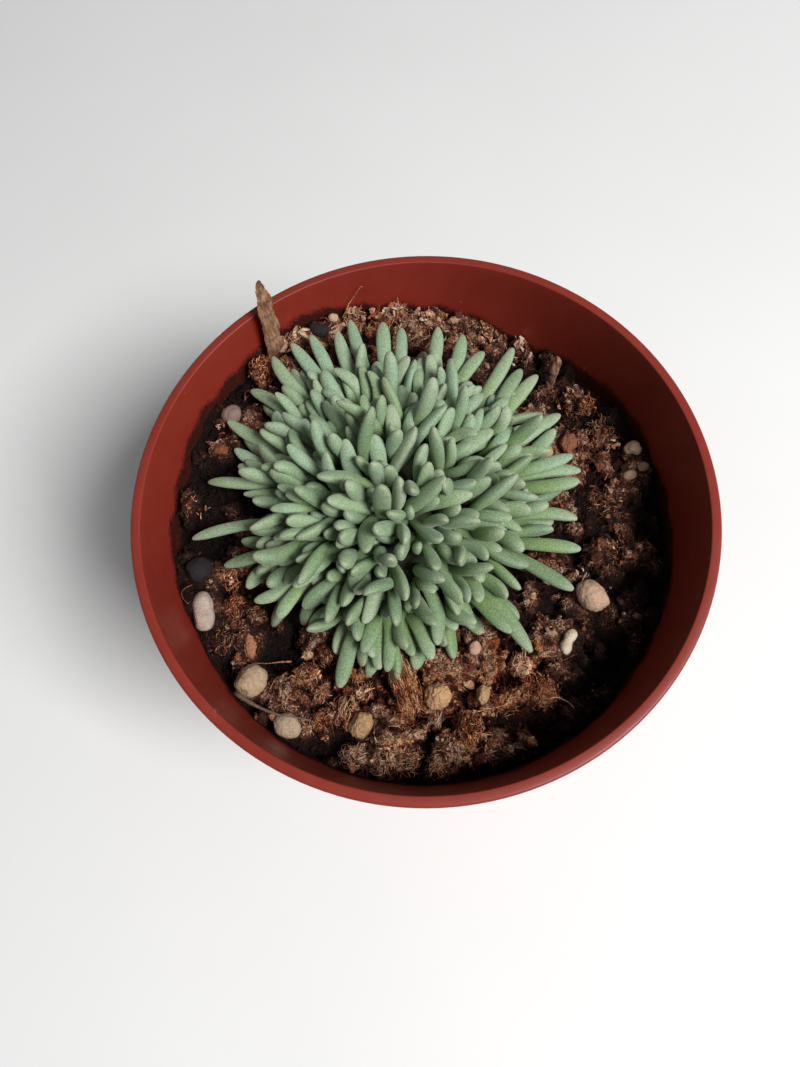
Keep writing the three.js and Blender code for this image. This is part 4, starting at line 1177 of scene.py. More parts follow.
def under_leaves(draw):
    """Leaves that fill the gaps between and below the outer ones, most of them at the back."""
    leaves = []
    for i in range(UNDER_LEAVES + BACK_LEAVES):
        turn = math.radians(GOLDEN_ANGLE * i) + draw(-0.1, 0.1)
        at_back = i >= UNDER_LEAVES
        if at_back:
            turn = draw(*BACK_TURNS) * math.pi
        at_front = max(0.0, -math.sin(turn))
        roots = BACK_ROOTS if at_back else (0.42, 0.84 - 0.3 * at_front)
        root = dome_point(draw(*roots), turn) - 0.8 * UPWARD
        heading = turn + draw(-0.6, 0.6)
        slope = draw(-0.2, 0.65) + (0.3 if at_back else 0)
        length = draw(6.5, 10.0)
        way = direction(heading, slope)
        bend = Vector((draw(-0.9, 0.9), draw(-0.9, 0.9), draw(0.0, 1.2)))
        half_width = draw(0.85, 1.15)
        if at_front < OPEN_FRONT:
            leaves.append(Leaf(root, root + way * length, bend, UPWARD, half_width,
                               UNDER_NUMBER - i))
    return leaves


def settled(home, radius, shoot, still):
    """Bends leaves apart where they would cross. The first lines, given in still, stay."""
    steps = np.linalg.norm(np.diff(home, axis=1), axis=2)
    count = len(home)
    leaf_of = np.repeat(np.arange(count), LEAF_KNOTS)
    knot_of = np.tile(np.arange(LEAF_KNOTS), count)
    shoot_of = np.repeat(shoot, LEAF_KNOTS)
    flat_radius = radius.ravel()
    kept = len(still)
    line = home.copy()
    line[:kept] = still
    for turn in range(SETTLE_ROUNDS):
        places = line.reshape(-1, 3)
        if turn % ROUNDS_PER_SEARCH == 0:
            a, b = close_pairs(places, leaf_of, knot_of, shoot_of)
        between = places[b] - places[a]
        distance = np.linalg.norm(between, axis=1) + 1e-9
        push = np.maximum(flat_radius[a] + flat_radius[b] - distance, 0)
        step = between * (0.5 * push / distance)[:, None]
        shift = np.zeros_like(places)
        np.add.at(shift, b, step)
        np.add.at(shift, a, -step)
        drift = (line + SETTLE_STEP * shift.reshape(line.shape) - home) * SETTLE_REBOUND
        eased = drift.copy()
        eased[:, 1:-1] = 0.6 * drift[:, 1:-1] + 0.2 * drift[:, :-2] + 0.2 * drift[:, 2:]
        line[:, 1:] = home[:, 1:] + eased[:, 1:]
        lowest = soil_height(line[:, 2:, 0], line[:, 2:, 1]) + radius[:, 2:] + SOIL_CLEARANCE
        line[:, 2:, 2] = np.maximum(line[:, 2:, 2], lowest)
        for k in range(1, LEAF_KNOTS):
            way = line[:, k] - line[:, k - 1]
            way *= (steps[:, k - 1] / np.linalg.norm(way, axis=1))[:, None]
            line[:, k] = line[:, k - 1] + way
        line[:kept] = still
    return line


def grown_leaves():
    """All leaves: lines, half widths, faces and which are outer ones."""
    draw = drawer(7)
    leaves = shoot_leaves(draw)
    leaves += outer_leaves(draw)
    main = len(leaves)
    leaves += under_leaves(draw)
    columns = Leaf(*zip(*leaves))
    root, tip, bend, face = (np.array([vector[:] for vector in column]) for column in columns[:4])
    half, shoot = np.array(columns.half_width), np.array(columns.shoot)
    t = np.linspace(0, 1, LEAF_KNOTS)[None, :, None]
    home = root[:, None] * (1 - t) + tip[:, None] * t + bend[:, None] * 4 * t * (1 - t)
    size = np.interp(t.ravel(), LEAF_SHAPE[:, 0], LEAF_SHAPE[:, 1])
    size[-1] = TIP_WIDTH
    radius = half[:, None] * size[None, :]
    still = settled(home[:main], radius[:main], shoot[:main], home[:0])
    return settled(home, radius, shoot, still), half, face, shoot < 0


# Pieces

class PLANT_OT_pot(bpy.types.Operator):
    """The turned plastic pot with its lip, collar, foot ring and drain holes"""

    bl_idname = "plant.make_pot"
    bl_label = "Pot"

    def execute(self, context):
        look = context.scene.pot_look
        pot = turned("pot_shell", self.profile(), look.steps)
        for i in range(DRAIN_HOLES):
            turn = 2 * math.pi * i / DRAIN_HOLES
            self.drill(pot, DRAIN_CIRCLE * math.cos(turn), DRAIN_CIRCLE * math.sin(turn))
        self.drill(pot, 0, 0)
        smooth(pot, 38)
        self.stain_and_shade(pot)
        pot.data.materials.append(plastic_material(look))
        join_to_part(pot, "pot", "pot")
        return {"FINISHED"}

    def profile(self):
        """Radius and height, from the floor's underside over the lip to the floor's top."""
        collar = RIM_Z - COLLAR_DEPTH
        floor_top = FLOOR_UNDERSIDE + FLOOR_THICKNESS
        foot = inner_radius(0) + WALL
        inside = foot - FOOT_RING_WIDTH

        def outer(z):
            return inner_radius(z) + WALL

        def arc(centre_radius, centre_z, radius, first, last, count):
            turns = np.radians(np.linspace(first, last, count))
            return [(centre_radius + radius * math.cos(turn), centre_z + radius * math.sin(turn))
                    for turn in turns]

        profile = [(0, FLOOR_UNDERSIDE), (DRAIN_CIRCLE - 6, FLOOR_UNDERSIDE),
                   (DRAIN_CIRCLE + 6, FLOOR_UNDERSIDE), (inside - 1.6, FLOOR_UNDERSIDE),
                   (inside - 0.5, 0.5), (inside, 0.05), (inside + 0.3, 0), (foot - 1.0, 0),
                   (foot - 0.45, 0.08), (foot - 0.12, 0.35), (outer(0.9), 0.9), (outer(8), 8),
                   (outer(24), 24), (outer(40), 40), (outer(collar - 2), collar - 2),
                   (outer(collar - 0.95), collar - 0.95),
                   (outer(collar - 0.85) + 0.03, collar - 0.78),
                   (outer(collar) + COLLAR_STEP - 0.06, collar - 0.06),
                   (outer(collar) + COLLAR_STEP, collar + 0.06),
                   (outer(collar + 0.25) + COLLAR_STEP, collar + 0.25),
                   (outer(collar + 3) + COLLAR_STEP, collar + 3),
                   (RIM_RADIUS - 0.1, RIM_Z - 2.2)]
        profile += arc(RIM_RADIUS - LIP_ROUND, RIM_Z - LIP_ROUND, LIP_ROUND, 0, 90, 6)
        profile += arc(RIM_RADIUS - LIP_WIDTH + LIP_INNER_ROUND, RIM_Z - LIP_INNER_ROUND,
                       LIP_INNER_ROUND, 90, 180, 5)
        profile += [(inner_radius(z), z) for z in WALL_LEVELS]
        profile += arc(inner_radius(floor_top + FLOOR_ROUND) - FLOOR_ROUND, floor_top + FLOOR_ROUND,
                       FLOOR_ROUND, 0, -90, 5)
        profile += [(DRAIN_CIRCLE + 5, floor_top), (DRAIN_CIRCLE - 5, floor_top), (0, floor_top)]
        return profile

    def drill(self, pot, x, y):
        deselect()
        bpy.ops.mesh.primitive_cylinder_add(
            vertices=32, radius=DRAIN_RADIUS * MM, depth=6 * MM, location=(x * MM, y * MM, 2 * MM))
        cutter = finished("drain cutter")
        apply_modifier(pot, "drain hole", "BOOLEAN", operation="DIFFERENCE", object=cutter,
                       solver="EXACT")
        remove(cutter)

    def stain_and_shade(self, pot):
        """Marks how far the inner wall is soiled and darkened by painted shade, just above the
        peat.
        """
        x, y, z = positions(pot.data).T / MM
        above = z - soil_height(x, y)
        within = (np.hypot(x, y) < inner_radius(z) + 0.2) & (z > STAIN_AND_SHADE_LOWEST)
        add_values(pot.data, "soiled_and_shaded", np.clip(1.1 - above / STAIN_AND_SHADE_RISE, 0, 1) * within)


def clear_of_plant(x, y):
    """0 under the cushion, 1 well outside it."""
    away = np.hypot(np.asarray(x) - CUSHION_CENTRE[0], np.asarray(y) - CUSHION_CENTRE[1])
    return np.clip((away - PLANT_EDGE) / PLANT_MARGIN, 0, 1)


def clear_of_stones(x, y):
    """0 at the stones, 1 away from them."""
    clear = np.ones_like(np.asarray(x, dtype=float))
    for stone in STONES:
        reach = max(stone[3][:2]) / 2
        away = np.hypot(x - stone[1], y - stone[2]) / reach
        clear = np.minimum(clear, np.clip((away - 0.8) / 0.7, 0, 1))
    return clear


def unevenness(x, y, size, shift):
    """Smooth noise at places in the plane, from -1 to 1. shift picks another pattern."""
    right, back, up = shift
    return np.array([noise.noise(Vector((px / size + right, py / size + back, up)))
                     for px, py in zip(x, y)])


def in_frame_of(x, y, heading):
    """Offsets as seen along and across a heading in radians."""
    return (x * math.cos(heading) + y * math.sin(heading),
            y * math.cos(heading) - x * math.sin(heading))


def seeded_clods():
    """Lumps of peat: x, y, radius, height, direction and slimness of each."""
    random = np.random.default_rng(3)
    count = SEEDED_CLODS
    reach = SEEDED_REACH * np.sqrt(random.random(count))
    turn = 2 * math.pi * random.random(count)
    radius = 0.8 + 2.6 * random.random(count) ** 2
    rise = radius * (0.45 + 0.45 * random.random(count))
    return np.column_stack([reach * np.cos(turn), reach * np.sin(turn), radius, rise,
                            math.pi * random.random(count), 1 + random.random(count)])


def over_clods(x, y):
    """How far in on a matted lump places lie (0 to 1), how near to its foot outside, and the
    lump's height, tone and redness."""
    rise, tone, red = (np.zeros_like(x) for _ in range(3))
    cover = np.full_like(x, -2.0)
    ragged = unevenness(x, y, 0.9, (0, 0, 9))
    for clod_x, clod_y, size, turn, clod_tone, clod_red in CLODS:
        along, across = in_frame_of(x - clod_x, y - clod_y, math.radians(turn))
        outward = (along / size[0]) ** 2 + (across / size[1]) ** 2
        inside = 1 - 4 * outward * (1 + 0.8 * ragged)
        on_top = inside > cover
        cover[on_top] = inside[on_top]
        rise[on_top] = size[2]
        tone[on_top] = clod_tone
        red[on_top] = clod_red
    beside = np.exp(-((np.minimum(cover, 0) + 0.35) / 0.3) ** 2) * (cover < 0)
    return np.maximum(cover, 0), beside, rise, tone, red


def relief(x, y):
    """The peat's clods and hollows, faded out at the stones and low under the leaves."""
    fine = np.array([noise.fractal(Vector((*spot, 0)) / 1.1, 0.8, 2.1, 3) for spot in zip(x, y)])
    ragged = unevenness(x, y, 0.8, (5, 8, 2))
    hollow = unevenness(x, y, 4.6, (7, 3, 1))
    ground = np.full_like(x, PEAT_GROUND)
    for clod_x, clod_y, radius, rise, heading, slimness in seeded_clods():
        away_x, away_y = x - clod_x, y - clod_y
        near = np.nonzero(np.abs(away_x) + np.abs(away_y) < 3 * radius)[0]
        along, across = in_frame_of(away_x[near], away_y[near], heading)
        away = (along ** 2 + (across * slimness) ** 2) / radius ** 2 * (1 + 0.7 * ragged[near])
        dome = CLOD_FOOT + 1.5 * rise * np.clip(1 - away, 0, 1) ** CLOD_STEEPNESS
        ground[near] = np.maximum(ground[near], dome)
    cover, beside, rise, _, _ = over_clods(x, y)
    ground -= HOLLOW_DEPTH * np.clip(hollow - 0.15, 0, 1) + MOAT_DEPTH * beside
    matted = 0.8 * rise * cover ** CLOD_STEEPNESS - 1.0
    ground = np.where(cover > 0, np.maximum(ground, matted), ground)
    ground += FINE_HEIGHT * fine
    ground += WET_DEPTH * np.minimum(rust_damp_and_shadow(x, y), 0)
    share = UNDER_PLANT_SHARE + (1 - UNDER_PLANT_SHARE) * clear_of_plant(x, y)
    lowered = UNDER_PLANT_TOP + (ground - UNDER_PLANT_TOP) * share
    ground = np.where(ground > UNDER_PLANT_TOP, lowered, ground)
    return np.clip(ground, PEAT_LOWEST, PEAT_HIGHEST) * clear_of_stones(x, y)


def rust_damp_and_shadow(x, y):
    """Above 0 where the peat is reddish, below 0 where it is wet and dark, at the front right and
    right also as painted shadow of the wall.
    """
    warm = np.zeros_like(x)
    damp_and_shadow = np.zeros_like(x)
    for patch_x, patch_y, radius, strength in RUST_DAMP_AND_SHADOW_PATCHES:
        effect = strength * np.exp(-np.hypot(x - patch_x, y - patch_y) ** 2 / radius ** 2)
        warm = np.maximum(warm, effect)
        damp_and_shadow = np.minimum(damp_and_shadow, effect)
    return warm + damp_and_shadow


def redness(x, y, random):
    """How red the crumbs and fibres at some places are, from 0 to 1."""
    return np.clip(0.5 + 0.8 * rust_damp_and_shadow(x, y) + 0.3 * random.standard_normal(len(x)), 0, 1)


def shading(x, y, rough):
    """Dims the peat with painted shade in its hollows, next to the wall and in the wall's painted
    shadow, and darkens it in dark spots and where it is wet.
    """
    gap = inner_radius(soil_height(x, y)) - np.hypot(x, y)
    # Painted shade in the hollows
    by_height = np.clip((rough + 2.0) / 1.9, 0.15, 1.15)
    by_spot = np.clip(1.05 + 1.4 * unevenness(x, y, 1.7, (0, 0, 4)), 0.25, 1.2)
    # Painted shade next to the wall
    by_wall = np.clip(0.3 + 0.3 * gap, 0.3, 1)
    # Damp patches, which at the front right and right are painted shadow of the wall
    by_damp_and_shadow = np.clip(1 + 0.9 * np.minimum(rust_damp_and_shadow(x, y), 0), 0.15, 1)
    return by_height * by_spot * by_wall * by_damp_and_shadow


class PLANT_OT_soil(bpy.types.Operator):
    """The peat with its lumps and hollows, its crumbs and its fibres"""

    bl_idname = "plant.make_soil"
    bl_label = "Soil"

    def execute(self, context):
        look = context.scene.soil_look
        self.make_bed(look)
        crumbs = loose_material(look, "crumbs", 0.15)
        fibres = loose_material(look, "fibres", 0.02)
        random = np.random.default_rng(11)
        self.make_crumbs("peat_crumbs", 1, look.crumbs, CRUMB_SIZES, random, crumbs)
        self.make_crumbs(
            "peat_clods", 2, look.crumbs // CRUMBS_TO_CLODS, CLOD_SIZES, random, crumbs)
        self.make_fibres(look, random, fibres)
        self.make_tufts(random, fibres)
        return {"FINISHED"}

    def make_bed(self, look):
        bottom = FLOOR_UNDERSIDE + FLOOR_THICKNESS + 0.05
        profile = [(0, bottom), (inner_radius(bottom) - 2.2, bottom),
                   *((inner_radius(z) - BED_GAP, z) for z in (bottom + 2.4, 25, 48))]
        rings = (*np.arange(BED_RADIUS, 16, -BED_RING), *BED_MIDDLE_RINGS)
        profile += [(radius, BED_LEVEL) for radius in rings]
        bed = turned("soil_bed", profile, look.steps)
        places = positions(bed.data) / MM
        top = places[:, 2] > BED_LEVEL - 1
        x, y = places[top, 0], places[top, 1]
        reach = np.hypot(x, y)
        wall = inner_radius(soil_height(x, y)) - 0.05
        outward = (reach - BED_STRETCH_FROM) / (BED_RADIUS - BED_STRETCH_FROM)
        stretch = 1 + (wall / BED_RADIUS - 1) * np.clip(outward, 0, 1)
        x, y = x * stretch, y * stretch
        rough = relief(x, y)
        places[top] = np.column_stack([x, y, soil_height(x, y) + rough])
        set_positions(bed.data, places * MM)
        painted_shade_and_clod_tone = np.zeros(len(places))
        rusty = np.zeros(len(places))
        cover, _, _, tone, red = over_clods(x, y)
        # Painted shade, with the tone of the matted lumps
        painted_shade_and_clod_tone[top] = shading(x, y, rough) * (1 + cover ** 0.3 * (1.6 * tone - 0.8))
        rusty[top] = np.maximum(rust_damp_and_shadow(x, y), red * cover ** 0.3)
        add_values(bed.data, "painted_shade_and_clod_tone", painted_shade_and_clod_tone)
        add_values(bed.data, "rusty", rusty)
        bed.data.materials.append(peat_material(look))
        smooth(bed, 180)
        join_to_part(bed, "soil", "soil")

    def scatter(self, random, count, inward, rare_on_clods):
        """Places on the open soil, this far inward from the wall and rarer on matted lumps."""
        x, y = np.empty(0), np.empty(0)
        while len(x) < count:
            reach = BED_RADIUS * np.sqrt(random.random(count))
            turn = random.random(count) * 2 * math.pi
            new_x, new_y = reach * np.cos(turn), reach * np.sin(turn)
            limit = inner_radius(soil_height(new_x, new_y)) - inward
            keep = (np.hypot(new_x, new_y) < limit) & (clear_of_plant(new_x, new_y) > 0.02)
            keep &= clear_of_stones(new_x, new_y) > random.random(count) * 0.8
            keep &= over_clods(new_x, new_y)[0] * rare_on_clods < random.random(count)
            x, y = np.append(x, new_x[keep]), np.append(y, new_y[keep])
        return x[:count], y[:count]

    def on_clods(self, x, y, tone, red, change):
        """Tone and redness, drawn towards those of the matted lump that a place lies on."""
        cover, _, _, clod_tone, clod_red = over_clods(x, y)
        share = 0.95 * cover ** 0.2
        return (tone * (1 - share) + (clod_tone + change) * share,
                red * (1 - share) + clod_red * share)

    def make_crumbs(self, name, fineness, count, sizes, random, loose):
        """Small lumps of random form on the peat, each with its own dents and tone."""
        deselect()
        bpy.ops.mesh.primitive_ico_sphere_add(subdivisions=fineness, radius=0.5)
        crumb = finished("crumb")
        shape = positions(crumb.data)
        faces = np.array([face.vertices[:] for face in crumb.data.polygons])
        remove(crumb)
        x, y = self.scatter(random, count, sizes[1] / 2, 2.5)
        size = sizes[0] + sizes[1] * random.random(count) ** 2.4
        rough = relief(x, y)
        squash = 0.55 + 0.7 * random.random((count, 3))
        dents = 1 + 0.24 * random.standard_normal((count, len(shape)))
        angle = random.random(count) * 2 * math.pi
        right, back, up = np.moveaxis(
            shape[None] * squash[:, None, :] * dents[:, :, None] * size[:, None, None], 2, 0)
        cos, sin = np.cos(angle)[:, None], np.sin(angle)[:, None]
        spots = np.stack([right * cos - back * sin, right * sin + back * cos, up], axis=2)
        spots += np.column_stack([x, y, soil_height(x, y) + rough + 0.1 * size])[:, None, :]
        all_faces = faces[None] + (np.arange(count) * len(shape))[:, None, None]
        mesh = bpy.data.meshes.new(name)
        mesh.from_pydata(
            (spots.reshape(-1, 3) * MM).tolist(), [], all_faces.reshape(-1, 3).tolist())
        spread = random.random(count)
        pale = (size < 0.7) * (random.random(count) > 0.985)
        tone = (0.15 + 0.74 * spread ** 1.5 + 0.24 * np.maximum(rust_damp_and_shadow(x, y), 0)
                + 0.08 * (y > 25))
        tone, red = self.on_clods(x, y, tone, redness(x, y, random), 0.4 * spread - 0.16)
        # Painted shade, as on the bed
        tone *= shading(x, y, rough)
        add_values(mesh, "tone", np.repeat(np.clip(tone + 0.4 * pale, 0, 1), len(shape)))
        add_values(mesh, "red", np.repeat(red, len(shape)))
        mesh.materials.append(loose)
        piece = linked(name, mesh)
        smooth(piece, 40)
        join_to_part(piece, "soil")

    def make_fibres(self, look, random, loose):
        """Thin fibres that lie matted on the peat."""
        strand = finger(3, FIBRE_CUTS, 1)
        count = look.fibres
        x, y = self.scatter(random, count, 2.0, 0)
        length = 0.7 + 1.9 * random.random(count) ** 2 + 2.6 * (random.random(count) > 0.98)
        heading = 9 * unevenness(x, y, 6, (0, 0, 5)) + 0.8 * random.standard_normal(count)
        bend = random.standard_normal(count) * 1.1
        lift = 0.5 * random.random(count) ** 2
        lines = np.empty((count, 4, 3))
        for k in range(4):
            s = k / 3 - 0.5
            way = heading + bend * s
            px, py = x + s * length * np.cos(way), y + s * length * np.sin(way)
            level = soil_height(px, py)
            limit = np.minimum((inner_radius(level) - 0.5) / np.maximum(np.hypot(px, py), 1), 1)
            rough = np.maximum(relief(px, py), -1.2)
            arch = 0.06 + lift * (1 - 4 * s * s)
            lines[:, k] = np.column_stack([px * limit, py * limit, level + rough + arch])
        radius = 0.035 + 0.085 * random.random(count) ** 2
        spread = random.random(count)
        tone = 0.12 + 0.9 * spread ** 1.2 + 0.24 * np.maximum(rust_damp_and_shadow(x, y), 0)
        tone, red = self.on_clods(x, y, tone, redness(x, y, random), 0.5 * spread - 0.2)
        # Painted shade, as on the bed
        tone *= shading(x, y, relief(x, y))
        up = np.tile(UPWARD, (count, 1))
        self.lay("peat_fibres", strand, lines, radius, up, tone, red, loose)

    def make_tufts(self, random, loose):
        """Bundles of coarse fibres, clusters of flakes and the single threads."""
        threads = [(self.over_peat(line), radius, tone, 0.6) for line, radius, tone in THREADS]
        for name, rows, sides, cuts, thinness, tilt in (
                ("peat_tufts", TUFTS, 3, TUFT_CUTS, 1, 0.3),
                ("peat_threads", None, 6, THREAD_CUTS, 1, 0.3),
                ("peat_flakes", FLAKES, 6, FLAKE_CUTS, 0.32, 0.9)):
            strands = threads
            if rows:
                strands = [strand for row in rows for strand in self.bundle(row, random)]
            line, radius, tone, red = zip(*strands)
            lines = np.array([[place[:] for place in places] for places in line])
            up = tilt * random.standard_normal((len(strands), 3)) + np.array(UPWARD)
            self.lay(name, finger(sides, cuts, 1, thinness), lines, np.array(radius), up,
                     np.array(tone), np.array(red), loose)

    def over_peat(self, line):
        x, y, above = np.array(line).T
        ground = soil_height(x, y) + np.maximum(relief(x, y), -0.6)
        return [Vector(place) for place in zip(x, y, ground + above)]

    def bundle(self, row, random):
        """The strands of one bundle: line, radius, tone and redness of each."""
        x, y, radius, count, heading, spread, length, thick, steep, tone, red, pile = row
        turn = 2 * math.pi * random.random(count)
        reach = radius * np.sqrt(random.random(count))
        x, y = x + reach * np.cos(turn), y + reach * np.sin(turn)
        dome = 0.5 * pile * (1 - (reach / radius) ** 2) * random.random(count)
        level = soil_height(x, y) + np.clip(relief(x, y), -0.8, 1.9) - 0.1 + dome
        free = clear_of_stones(x, y) > 0.35
        strands = []
        for i in np.nonzero(free)[0]:
            way = math.radians(heading + spread * random.standard_normal())
            rise = math.radians(steep * random.random() * 1.6)
            span = length * (0.5 + 0.7 * random.random())
            step = direction(way, rise) * span
            middle = Vector((x[i], y[i], level[i] + step.z / 2))
            curl = Vector(random.standard_normal(3)) * 0.14 * span
            line = [middle + step * (k / 5 - 0.5) + curl * (4 * k / 5 * (1 - k / 5))
                    for k in range(6)]
            for place in line:
                inward = (inner_radius(place.z) - 0.5) / math.hypot(place.x, place.y)
                place.x *= min(inward, 1)
                place.y *= min(inward, 1)
            strands.append((line, thick * (0.45 + 0.9 * random.random() ** 2),
                            tone - 0.02 + 0.24 * random.standard_normal(),
                            min(max(red + 0.25 * random.standard_normal(), 0), 1)))
        return strands

    def lay(self, name, template, lines, radii, up, tone, red, loose):
        """One strand along each line, as a piece on the soil."""
        piece = laid_copies(
            name, template, lines, radii, up, {"tone": np.clip(tone, 0, 1), "red": red})
        remove(template)
        piece.data.materials.append(loose)
        join_to_part(piece, "soil")


class PLANT_OT_stones(bpy.types.Operator):
    """The loose pebbles and chips, pressed into the soil"""

    bl_idname = "plant.make_stones"
    bl_label = "Stones"

    def execute(self, context):
        random = np.random.default_rng(19)
        for name, x, y, size, turn, above, first, second in STONES:
            fibrous = name in FIBROUS
            angular = "chip" in name or "wall" in name
            place = Vector((x, y, float(soil_height(x, y)) + size[2] * (above - 0.5)))
            waist = WAISTS.get(name, (0, 0))
            stone = self.broken_ball(name + "_piece", place, size, turn, angular, waist, random)
            small = min(size)
            roughen(stone, name + " form", "CLOUDS", 0.5 * max(size), 0.14 * small,
                    noise_depth=1)
            worn = name in WAISTS or "pink_front" in name
            roughen(stone, name + " dents", "CLOUDS", 0.6, 0.06 if worn else 0.12 + 0.03 * small,
                    noise_depth=3)
            if fibrous:
                roughen(stone, name + " crumble", "VORONOI", 0.45, 0.34, middle=0.3)
            smooth(stone, 180)
            stone.data.materials.append(stone_material(name + " finish", first, second, fibrous))
            if name in SHARED_SLOTS:
                join_to_part(stone, SHARED_SLOTS[name])
            else:
                join_to_part(stone, name, name)
        return {"FINISHED"}

    def broken_ball(self, name, place, size, turn, angular, waist, random):
        """A ball with flats cut from it, stretched to size and turned, with rounded edges."""
        flats, flat_depth = (9, 0.36) if angular else (5, 0.41)
        deselect()
        bpy.ops.mesh.primitive_ico_sphere_add(subdivisions=4, radius=0.5)
        stone = bpy.context.active_object
        bpy.ops.object.mode_set(mode="EDIT")
        for _ in range(flats):
            way = Vector(random.standard_normal(3)).normalized()
            bpy.ops.mesh.select_all(action="SELECT")
            depth = flat_depth + 0.08 * random.random()
            bpy.ops.mesh.bisect(
                plane_co=way * depth, plane_no=way, clear_outer=True, use_fill=True)
        bpy.ops.object.mode_set(mode="OBJECT")
        shape = positions(stone.data)
        shape[:, 1:] *= 1 - waist[0] * np.exp(-(shape[:, :1] / 0.16) ** 2)
        shape[:, 1] += waist[1] * (0.12 - shape[:, 0] ** 2) * 2
        set_positions(stone.data, shape)
        stone.scale = [length * MM for length in size]
        stone.rotation_euler = (0, 0, math.radians(turn))
        stone.location = place * MM
        stone = finished(name)
        apply_modifier(stone, "even faces", "REMESH", mode="VOXEL", voxel_size=STONE_VOXEL * MM)
        apply_modifier(stone, "rounded", "SMOOTH", factor=0.6, iterations=10)
        return stone


class PLANT_OT_bark(bpy.types.Operator):
    """The standing sliver and chip of bark, and the twig"""

    bl_idname = "plant.make_bark"
    bl_label = "Bark and twig"

    def execute(self, context):
        tan = bark_material("weathered bark", *TAN_BARK, low=60, high=75.4)
        red = bark_material("red bark", *RED_BARK, low=54, high=61)
        self.make_strip("bark_sliver", SLIVER_LINE, SLIVER_HALF_WIDTHS, 0.8, tan)
        self.make_strip("bark_chip", CHIP_LINE, CHIP_HALF_WIDTHS, 1.0, red)
        strand = finger(8, TWIG_CUTS, 1)
        lines = np.array([TWIG_LINE], dtype=float)
        twig = laid_copies(
            "twig_piece", strand, lines, np.array([TWIG_RADIUS]), np.array([UPWARD]), {})
        remove(strand)
        roughen(twig, "twig knots", "CLOUDS", 0.8, 0.2, noise_depth=2)
        twig.data.materials.append(stone_material("grey twig", *TWIG_BARK, False))
        join_to_part(twig, "twig", "twig")
        return {"FINISHED"}

    def make_strip(self, node, line, half_widths, thickness, bark):
        """A box whose top is pulled out along the line, then rounded and roughened."""
        places = [Vector(place) * MM for place in line]
        inward = Vector((-line[0][0], -line[0][1], 0)).normalized()
        turn = math.atan2(inward.y, inward.x) + math.pi / 2
        deselect()
        bpy.ops.mesh.primitive_cube_add(
            size=1, location=places[0], rotation=(0, 0, turn),
            scale=(2 * half_widths[0] * MM, thickness * MM, 0.4 * MM))
        strip = finished(node + "_piece")
        bpy.ops.object.mode_set(mode="EDIT")
        bpy.ops.mesh.select_mode(type="FACE")
        bpy.ops.mesh.select_all(action="DESELECT")
        bpy.ops.object.mode_set(mode="OBJECT")
        top = max(strip.data.polygons, key=lambda face: face.center.z)
        top.select = True
        bpy.ops.object.mode_set(mode="EDIT")
        for k in range(1, len(places)):
            bpy.ops.mesh.extrude_region_move(
                TRANSFORM_OT_translate={"value": places[k] - places[k - 1]})
            share = half_widths[k] / half_widths[k - 1]
            bpy.ops.transform.resize(value=(share, share, 1), center_override=places[k])
        bpy.ops.object.mode_set(mode="OBJECT")
        apply_modifier(strip, "rounded", "SUBSURF", levels=4, render_levels=4)
        roughen(strip, node + " warp", "CLOUDS", 3.2, 1.0, noise_depth=1)
        roughen(strip, node + " splits", "CLOUDS", 0.8, 0.45, noise_depth=2)
        smooth(strip, 60)
        strip.data.materials.append(bark)
        join_to_part(strip, node, node)


